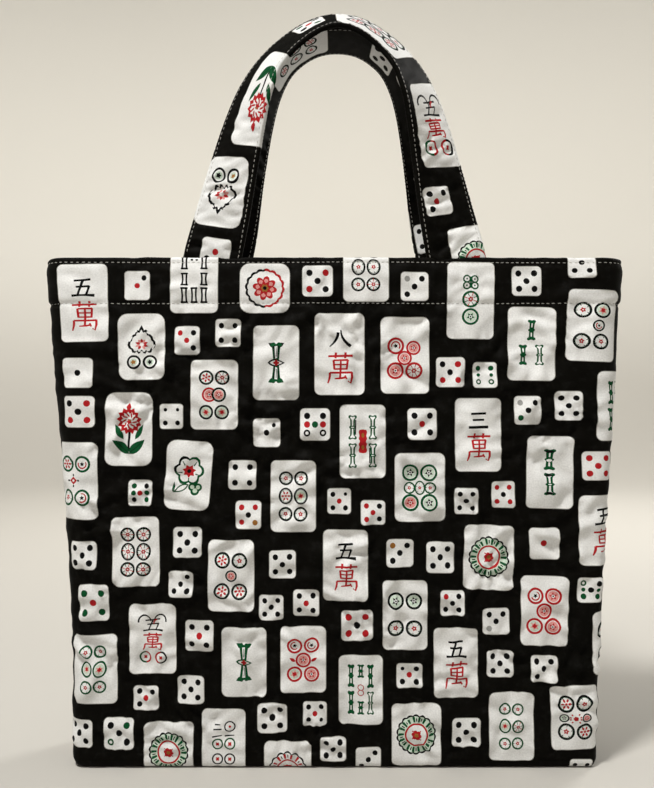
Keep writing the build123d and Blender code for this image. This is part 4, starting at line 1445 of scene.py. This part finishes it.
def side_tape(hand):
    sign = -1 if hand == "left" else 1
    uneven = Waves(71 if hand == "left" else 72, 8, 18, 60)
    zs = np.concatenate([[4.9], np.arange(6.5, 313.0, 2.6), [314.4]])
    sx, sy = tape_section(9.0, 1.8)
    rings = []
    for z in zs:
        hw = float(section(max(z, 6.0))[0])
        x = sign * (hw - 5.1 - 4.5) + 0.25 * float(uneven(z, 0.0))
        y = 0.35 * float(uneven(z, 50.0))
        pinch = 1 - 0.28 * np.exp(-((np.abs(sx + 2.9 * sign * 1.0) / 0.9) ** 2))
        rings.append(np.stack([x + sx, y + sy * pinch * (1 + 0.1 * float(uneven(z, 90.0))),
                               np.full(len(sx), z)], 1))
    o = loft(hand + "_binding", rings, TAPE)
    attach(o, "base")
    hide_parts(hand + "_seam_binding")
    z = np.arange(8.0, 312.0, 3.4)
    hw = section(np.maximum(z, 6.0))[0]
    x = sign * (hw - 5.1 - 4.5) - sign * 2.9 + 0.25 * uneven(z, np.zeros(len(z)))
    places, ways, ups = [], [], []
    for f in (-1, 1):
        y = 0.35 * uneven(z, np.full(len(z), 50.0)) + f * 0.72
        places.append(np.stack([x, y, z], 1))
        ways.append(np.tile([0.0, 0.0, 1.0], (len(z), 1)))
        ups.append(np.tile([0.0, f, 0.0], (len(z), 1)))
    t = threads(hand + "_binding_stitches", np.concatenate(places), np.concatenate(ways),
                np.concatenate(ups), THREAD, 2.2, 0.24, 33)
    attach(t, "base")


def base_tape():
    uneven = Waves(73, 8, 18, 60)
    xs = np.arange(-166.0, 166.1, 2.6)
    sz, sy = tape_section(9.0, 1.8)
    rings = []
    for x in xs:
        lean = 0.3 * float(uneven(x, 0.0))
        zc = 9.6 + 0.2 * float(uneven(x, 30.0))
        rings.append(np.stack([np.full(len(sz), x), sy + lean * (1 + sz / 9.0), zc + sz], 1))
    o = loft("base_binding", rings, TAPE)
    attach(o, "base")
    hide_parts("base_seam_binding")
    x = np.arange(-163.0, 163.0, 3.4)
    places, ways, ups = [], [], []
    for f in (-1, 1):
        y = 0.3 * uneven(x, np.zeros(len(x))) * 0.75 + f * 0.85
        z = 9.6 + 0.2 * uneven(x, np.full(len(x), 30.0)) - 2.2
        places.append(np.stack([x, y, z], 1))
        ways.append(np.tile([1.0, 0.0, 0.0], (len(x), 1)))
        ups.append(np.tile([0.0, f, 0.0], (len(x), 1)))
    t = threads("base_binding_stitches", np.concatenate(places), np.concatenate(ways),
                np.concatenate(ups), THREAD, 2.2, 0.24, 34)
    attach(t, "base")


# ---- the strap handles ----------------------------------------------------------------------------
def arch_line(half, per_span=6):
    (x0, z0), (x1, z1) = half[0], half[1]
    low = (x0 + (x0 - x1) * 0.66, z0 + (z0 - z1) * 0.66)
    left = [(-x, z) for x, z in [low] + half]
    right = [(x, z) for x, z in reversed(([low] + half)[:-1])]
    p = left + right
    p = [(2 * p[0][0] - p[1][0], 2 * p[0][1] - p[1][1])] + p
    p = p + [(2 * p[-1][0] - p[-2][0], 2 * p[-1][1] - p[-2][1])]
    made = []
    for i in range(1, len(p) - 2):
        a, b, c, d = (np.array(q) for q in p[i - 1:i + 3])
        for k in range(per_span):
            t = k / per_span
            made.append(0.5 * (2 * b + (c - a) * t + (2 * a - 5 * b + 4 * c - d) * t * t
                               + (3 * b - a - 3 * c + d) * t**3))
    made.append(np.array(p[-2]))
    made = np.array(made)
    top = half[-1][1]
    made[:, 0] += SWAY * np.maximum(0.0, (made[:, 1] - Z_TOP) / (top - Z_TOP)) ** 1.5
    return made


# how far the front strap's face is turned up, by its share of the climb to the top
TWIST = ([0, 0.12, 0.246, 0.363, 0.47, 0.58, 0.72, 0.823, 1.0], [0, 11, 20, 27.5, 33.5, 40, 49, 55, 58])


class Strap:
    """A strap's centre line and the directions across it, out of it and along it."""

    def __init__(self, side):
        front = side == "front"
        self.face = -1 if front else 1
        arch = FRONT_ARCH if front else BACK_ARCH
        line = arch_line(arch)
        z_apex = arch[-1][1]
        turn = math.radians(FRONT_TURN if front else BACK_TURN)
        y_top = REACH - (STRAP_W / 2 * math.sin(turn) + STRAP_T / 2 * math.cos(turn))
        run = np.concatenate([[0], np.cumsum(np.hypot(*np.diff(line, axis=0).T))])
        self.total = run[-1]
        s = np.linspace(0, run[-1], 500)
        x, z = np.interp(s, run, line[:, 0]), np.interp(s, run, line[:, 1])
        t = np.stack([np.gradient(x, s), np.gradient(z, s)], 1)
        kernel = np.hanning(31) / np.hanning(31).sum()
        for j in (0, 1):
            t[:, j] = np.convolve(np.pad(t[:, j], 15, mode="edge"), kernel, "valid")
        t /= np.hypot(t[:, 0], t[:, 1])[:, None]
        climb = np.clip((z - Z_TOP) / (z_apex - Z_TOP), 0, 1)
        share = np.sin(math.pi / 2 * np.minimum(1, climb / 0.62)) if front else climb**0.85
        phi = turn * share
        y = self.face * (Y_STRAP + (y_top - Y_STRAP) * share)
        n = np.stack([-t[:, 1], t[:, 0]], 1)
        if front:
            # the cloth turns later and further than the plain strap does, about its outer edge
            seen = np.radians(np.interp(climb, TWIST[0], TWIST[1]))
            seen = np.convolve(np.pad(seen, 15, mode="edge"), kernel, "valid")
            out = STRAP_W / 2 * (np.cos(phi) - np.cos(seen)) + 0.6 * climb**3
            x, z = x + out * n[:, 0], z + out * n[:, 1]
            y = y + STRAP_W / 2 * np.abs(np.sin(seen) - np.sin(phi))
            phi = seen
        # inside the hem it lies between the plies
        hd = section(np.clip(z, 6, Z_TOP))[1]
        sewn = 1 - ramp(348.0, 354.0, z)
        y = y * (1 - sewn) + self.face * (hd - 3.55) * sewn
        self.s = s
        self.thin = 1 - 0.38 * sewn
        self.sewn = sewn
        self.z = z
        self.centre = np.stack([x, y, z], 1)
        self.out = np.stack([np.sin(phi) * n[:, 0], self.face * np.cos(phi), np.sin(phi) * n[:, 1]], 1)
        self.along = np.stack([t[:, 0], 0 * x, t[:, 1]], 1)
        self.across = np.cross(self.out, self.along)
        seed = 81 if front else 91
        self.crumple = Waves(seed, 12, 9, 24)
        self.ripple = Waves(seed + 1, 10, 5, 10)
        self.slow = Waves(seed + 2, 6, 50, 120)
        self.start = float(np.interp(327.0, z[:200], s[:200]))

    def at(self, table, s):
        return np.stack([np.interp(s, self.s, table[:, k]) for k in range(3)], -1)

    def relief(self, s, w, back):
        """How far the padded face stands out from the flat strap."""
        e = np.abs(w)
        shift = np.where(back, 300.0, 0.0)
        soft = 0.55 * (1 - np.clip(e / 16.5, 0, 1) ** 2)
        groove = -0.42 * bell(e, 18.1, 0.95)
        edge = 1 - ramp(15.5, 18.5, e)
        g = self.crumple(s * 1.3 + w * 0.3 + shift, w * 0.45)
        crease = 1.10 * (1 - np.sqrt(g * g + 0.03)) + 0.20 * self.crumple(s * 2.0 + shift + 70, w * 1.1)
        # the cloth is taut where the strap goes over the top
        crease = crease * (1 - 0.82 * ramp(420.0, 475.0, np.interp(s, self.s, self.z)))
        small = 0.11 * self.ripple(s + shift, w * 0.5) * np.exp(-((e - 16.5) / 3.0) ** 2)
        free = 1 - np.interp(s, self.s, self.sewn)
        return (soft + (crease - 0.3) * edge) * free + groove + small * free

    def point(self, s, q, lift=0.0):
        """A point of the strap's skin: s along it, q round it from the middle of its face."""
        rr, flat = STRAP_T / 2, STRAP_W / 2 - STRAP_T / 2
        arc = math.pi * rr
        a0 = np.clip((-flat - q) / rr, 0, math.pi / 2)
        a1 = np.clip((q - flat) / rr, 0, math.pi)
        a2 = np.clip((q - (3 * flat + arc)) / rr, 0, math.pi / 2)
        front = (q >= -flat) & (q <= flat)
        edge1 = (q > flat) & (q < flat + arc)
        back = (q >= flat + arc) & (q <= 3 * flat + arc)
        low = q < -flat
        w = np.where(front, q, np.where(edge1, flat, np.where(back, flat - (q - flat - arc), -flat)))
        nw = np.where(front | back, 0.0, np.where(edge1, np.sin(a1),
                                                  np.where(low, -np.sin(a0), -np.sin(a2))))
        nd = np.where(front, 1.0, np.where(back, -1.0, np.where(edge1, np.cos(a1),
                                                                np.where(low, np.cos(a0), -np.cos(a2)))))
        width = w + nw * rr
        h = self.relief(s, width, nd < 0) * np.abs(nd)
        h = h + 0.22 * self.slow(s, width * 0 + 9.0) * np.abs(nw)
        seam = -0.35 * (bell(q, -flat - math.pi / 2 * rr, 0.6) + bell(q, 3 * flat + arc + math.pi / 2 * rr, 0.6))
        c, A, O = self.at(self.centre, s), self.at(self.across, s), self.at(self.out, s)
        thin = np.interp(s, self.s, self.thin)
        return c + A * (w + nw * (rr + h + seam + lift))[:, None] \
            + O * (nd * (rr * thin + h + lift))[:, None]


STRAPS = {"front": Strap("front"), "back": Strap("back")}


def strap(side):
    st = STRAPS[side]
    rr, flat = STRAP_T / 2, STRAP_W / 2 - STRAP_T / 2
    arc = math.pi * rr
    q0, q1 = -flat - arc / 2, 3 * flat + 1.5 * arc
    round_ = q1 - q0
    s0, s1 = st.start, st.total - st.start
    art = Print()
    if side == "front":
        for it in STRAP_ITEMS:
            art.item(*it)
            kind, s, q, w, h, t = it
            if q - w / 2 < q0 + 1:
                art.item(kind, s, q + round_, w, h, t)
        for part in ((s0, st.total / 2, 27, 62, -90.0), (st.total / 2, s1, 27, 62, 90.0)):
            art.scatter(part[:4], 51, 700, 900, (part[4],),
                        [(s0 - 20, s1 + 20, -60, 19.6), (s0 - 20, s1 + 20, 69, 99)])
    else:
        for kind, s, q, w, h, t in BACK_STRAP_ITEMS:
            art.item(kind, s, q, w, h, t)
            if q + w / 2 > q1 - 1:
                art.item(kind, s, q - round_, w, h, t)
        plain = [(s0, 152, 23, 50), (152, 352, 21, 66), (352, s1, 23, 50)]
        for part in ((s0, st.total / 2, q0, q1, 90.0), (st.total / 2, s1, q0, q1, -90.0)):
            art.scatter(part[:4], 53, 700, 1200, (part[4],), plain)
    area = (s0, s1, q0, q1)
    columns = np.concatenate([
        [q0 + 0.7, q0 + 1.5, q0 + 2.3], np.arange(-flat, -flat + 2.2, 0.7),
        np.linspace(-flat + 3.2, flat - 3.2, 14), flat - np.arange(0, 2.2, 0.7)[::-1],
        flat + arc * np.array([0.12, 0.28, 0.5, 0.72, 0.88]),
        flat + arc + np.arange(0, 2.2, 0.7), np.linspace(flat + arc + 3.2, 3 * flat + arc - 3.2, 14),
        3 * flat + arc - np.arange(0, 2.2, 0.7)[::-1],
        [q1 - 2.3, q1 - 1.5, q1 - 0.7]])
    n = int((s1 - s0) / 2.6)
    rng = np.random.default_rng(17)
    free = []
    for k, q in enumerate(columns):
        s = s0 + (s1 - s0) * (np.arange(n) + (0.25 if k % 2 else 0.75)) / n
        free.append(np.stack([s + rng.uniform(-0.2, 0.2, n), np.full(n, q)], 1))
    free = away_from(np.concatenate(free), art.polys, 0.6)
    # the two long edges are sewn together, so they need the same points
    steps = np.linspace(s0, s1, n + 1)
    ends = np.concatenate([[q0], columns[3:-3:2], [q1]])
    ends = np.unique(ends)
    for attempt in range(3):
        pts, tris, top, rim, on = triangulate(area, art.polys, free, (steps, ends))
        both = np.unique(np.round(np.concatenate([pts[on[0], 0], pts[on[2], 0]]), 3))
        keep = [both[0]]
        for value in both[1:]:
            if value - keep[-1] > 0.004:
                keep.append(value)
        if len(keep) == len(on[0]) == len(on[2]):
            break
        steps = np.array(keep)
        steps[0], steps[-1] = s0, s1
    low, high = on[0][np.argsort(pts[on[0], 0])], on[2][np.argsort(pts[on[2], 0])]
    xyz = st.point(pts[:, 0], pts[:, 1])
    remap = np.arange(len(pts))
    for i in high:
        j = low[np.abs(pts[low, 0] - pts[i, 0]).argmin()]
        if abs(pts[j, 0] - pts[i, 0]) < 0.02:
            remap[i] = j
    tris2 = remap[tris]
    good = (tris2[:, 0] != tris2[:, 1]) & (tris2[:, 1] != tris2[:, 2]) & (tris2[:, 0] != tris2[:, 2])
    colour = np.where(top < 0, GROUND, np.array(art.colours + [GROUND])[top])[good]
    faces = [tuple(t) for t in tris2[good]]
    flats = pts.copy()
    for where, last in ((on[3], False), (on[1], True)):
        loop = [remap[i] for i in where[np.argsort(pts[where, 1])]]
        loop = [v for k, v in enumerate(loop) if v not in loop[:k]]
        faces.append(tuple(loop) if not last else tuple(loop[::-1]))
        colour = np.append(colour, GROUND)
    used = np.unique(np.concatenate([np.array(f) for f in faces]))
    index = np.zeros(len(pts), int)
    index[used] = np.arange(len(used))
    faces = [tuple(int(index[i]) for i in f) for f in faces]
    # painted light along the strap: all its colours are dimmed to 0.9 on the left leg and 0.84 over the top,
    # where the key light falls hardest, and raised to 1.04 on the right leg, which turns away from the key
    # light, so that both legs look as light as they should
    middle = np.array([pts[list(t), 0].mean() for t in tris[good]])
    middle = np.append(middle, [s0, s1]) / st.total
    painted_light_along_strap = np.interp(middle, [0.0, 0.25, 0.4, 0.55, 0.68, 1.0], [0.90, 0.90, 0.84, 0.84, 1.04, 1.04])
    shade = PALETTE[colour] * np.stack([painted_light_along_strap, painted_light_along_strap, painted_light_along_strap, np.ones(len(painted_light_along_strap))], 1)
    o = make_mesh(side + "_handle_strap", xyz[used], faces, shade, flats[used], (PRINTED,))
    face = st.face
    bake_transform(o)
    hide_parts(side + "_strap", side + "_strap_core", side + "_strap_tab_left",
                side + "_strap_tab_right")

    # topstitching along both edges, on both faces
    places, ways, ups = [], [], []
    first = float(np.interp(353.6, st.z[:200], st.s[:200]))
    for k, q in enumerate((-18.1, 18.1, flat + arc + (flat - 18.1), flat + arc + (flat + 18.1))):
        rng = np.random.default_rng(100 + k)
        s = np.arange(first + 0.5 * (k % 2), st.total - first, 3.45)
        s = s + rng.uniform(-0.1, 0.1, len(s))
        qq = q + 0.18 * np.sin(s / 23.0 + k) + rng.uniform(-0.05, 0.05, len(s))
        p = st.point(s, qq, 0.03)
        along = st.point(s + 0.7, qq) - st.point(s - 0.7, qq)
        up = st.point(s, qq, 1.0) - st.point(s, qq)
        places.append(p), ways.append(along), ups.append(up)
    t = threads(side + "_handle_topstitching", np.concatenate(places), np.concatenate(ways),
                np.concatenate(ups), THREAD, seed=35 if face < 0 else 36)
    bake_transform(t)
    return o


for SIDE in ("front", "back"):
    outer_wall(SIDE)
    inner_wall(SIDE)
    hem_threads(SIDE)
    base_half(SIDE)
    strap(SIDE)
for HAND in ("left", "right"):
    side_tape(HAND)
base_tape()


# ---- floor, light and camera --------------------------------------------------------------------
def studio():
    """A pale floor that curves up into a pale backdrop all round, far from the bag."""
    profile = [(0.0, 0.0), (0.6, 0.0), (1.2, 0.0), (1.9, 0.0)]
    for k in range(1, 13):
        a = math.radians(90 * k / 12)
        profile.append((1.9 + 1.1 * math.sin(a), 1.1 * (1 - math.cos(a))))
    profile.append((3.0, 2.6))
    n = 72
    pts, faces = [(0.0, 0.0, 0.0)], []
    for r, z in profile[1:]:
        for i in range(n):
            a = i / n * math.tau
            pts.append((r * math.cos(a), r * math.sin(a), z))
    for i in range(n):
        faces.append((0, 1 + i, 1 + (i + 1) % n))
    for k in range(len(profile) - 2):
        for i in range(n):
            a, b = 1 + k * n + i, 1 + k * n + (i + 1) % n
            faces.append((a, a + n, b + n, b))
    mesh = bpy.data.meshes.new("studio_floor")
    mesh.from_pydata(pts, [], faces)
    mesh.polygons.foreach_set("use_smooth", [True] * len(mesh.polygons))
    m, nt, s = new_material("studio_floor", 0.9, 0.0, 0.5, 0.1)
    co = nt.nodes.new("ShaderNodeTexCoord")
    axes = nt.nodes.new("ShaderNodeSeparateXYZ")
    nt.links.new(co.outputs["Object"], axes.inputs[0])
    rise = nt.nodes.new("ShaderNodeMapRange")
    rise.interpolation_type = "SMOOTHSTEP"
    rise.inputs["From Min"].default_value = 0.0
    rise.inputs["From Max"].default_value = 0.9
    nt.links.new(axes.outputs["Z"], rise.inputs["Value"])
    r = node(nt, "ShaderNodeMix", data_type="RGBA")
    r.inputs["A"].default_value = (0.50, 0.482, 0.446, 1)
    r.inputs["B"].default_value = (0.80, 0.782, 0.735, 1)
    nt.links.new(rise.outputs[0], r.inputs["Factor"])
    nt.links.new(r.outputs["Result"], s.inputs["Base Color"])
    mesh.materials.append(m)
    o = bpy.data.objects.new("studio_floor", mesh)
    bpy.context.scene.collection.objects.link(o)


def area_light(name, place, target, size, power, colour=(1, 1, 1)):
    data = bpy.data.lights.new(name, "AREA")
    data.shape = "DISK"
    data.size = size
    data.energy = power
    data.color = colour
    o = bpy.data.objects.new(name, data)
    o.location = place
    o.rotation_mode = "QUATERNION"
    o.rotation_quaternion = (Vector(target) - Vector(place)).to_track_quat("-Z", "Y")
    bpy.context.scene.collection.objects.link(o)
    return o


studio()
area_light("key_light", (-0.42, -0.60, 1.63), (0, 0, 0.22), 0.30, 27.2, (1.0, 0.985, 0.955))
area_light("front_fill", (1.0, -1.7, 0.6), (0, 0, 0.22), 1.1, 0.8, (0.98, 0.99, 1.0))
area_light("back_key", (1.3, 1.15, 1.35), (0, 0, 0.22), 0.6, 18.0, (1.0, 0.985, 0.955))
area_light("front_wash", (0.0, -1.2, 2.0), (0, -3.0, 0.5), 1.0, 5.0, (1.0, 0.965, 0.90))
for SIGN, NAME in ((-1, "left_wash"), (1, "right_wash")):
    area_light(NAME, (SIGN * 0.9, 0.0, 1.8), (SIGN * 3.0, 0, 0.4), 0.9, 12.0, (1.0, 0.965, 0.90))
area_light("top_light", (0.0, 0.1, 2.3), (0, 0, 0.2), 1.3, 3.0)
area_light("backdrop_wash", (0.0, 0.8, 1.5), (0, 3.0, 0.3), 1.0, 28.0, (1.0, 0.965, 0.90))

world = bpy.data.worlds.new("studio_world")
world.use_nodes = True
background = world.node_tree.nodes.get("Background")
background.inputs[0].default_value = (0.95, 0.97, 1.0, 1.0)
background.inputs[1].default_value = 0.05
bpy.context.scene.world = world
bpy.context.scene.view_settings.view_transform = "Standard"
bpy.context.scene.view_settings.look = "None"
bpy.context.scene.view_settings.exposure = 0.0

camera_data = bpy.data.cameras.new("camera")
camera_data.sensor_fit = "AUTO"
camera_data.sensor_width = 36.0
camera_data.lens = 38.62
camera = bpy.data.objects.new("camera", camera_data)
camera.location = (-0.0052, -0.6106, 0.2573)
camera.rotation_mode = "QUATERNION"
camera.rotation_quaternion = Vector((0, 1, 0)).to_track_quat("-Z", "Y")
bpy.context.scene.collection.objects.link(camera)
bpy.context.scene.camera = camera
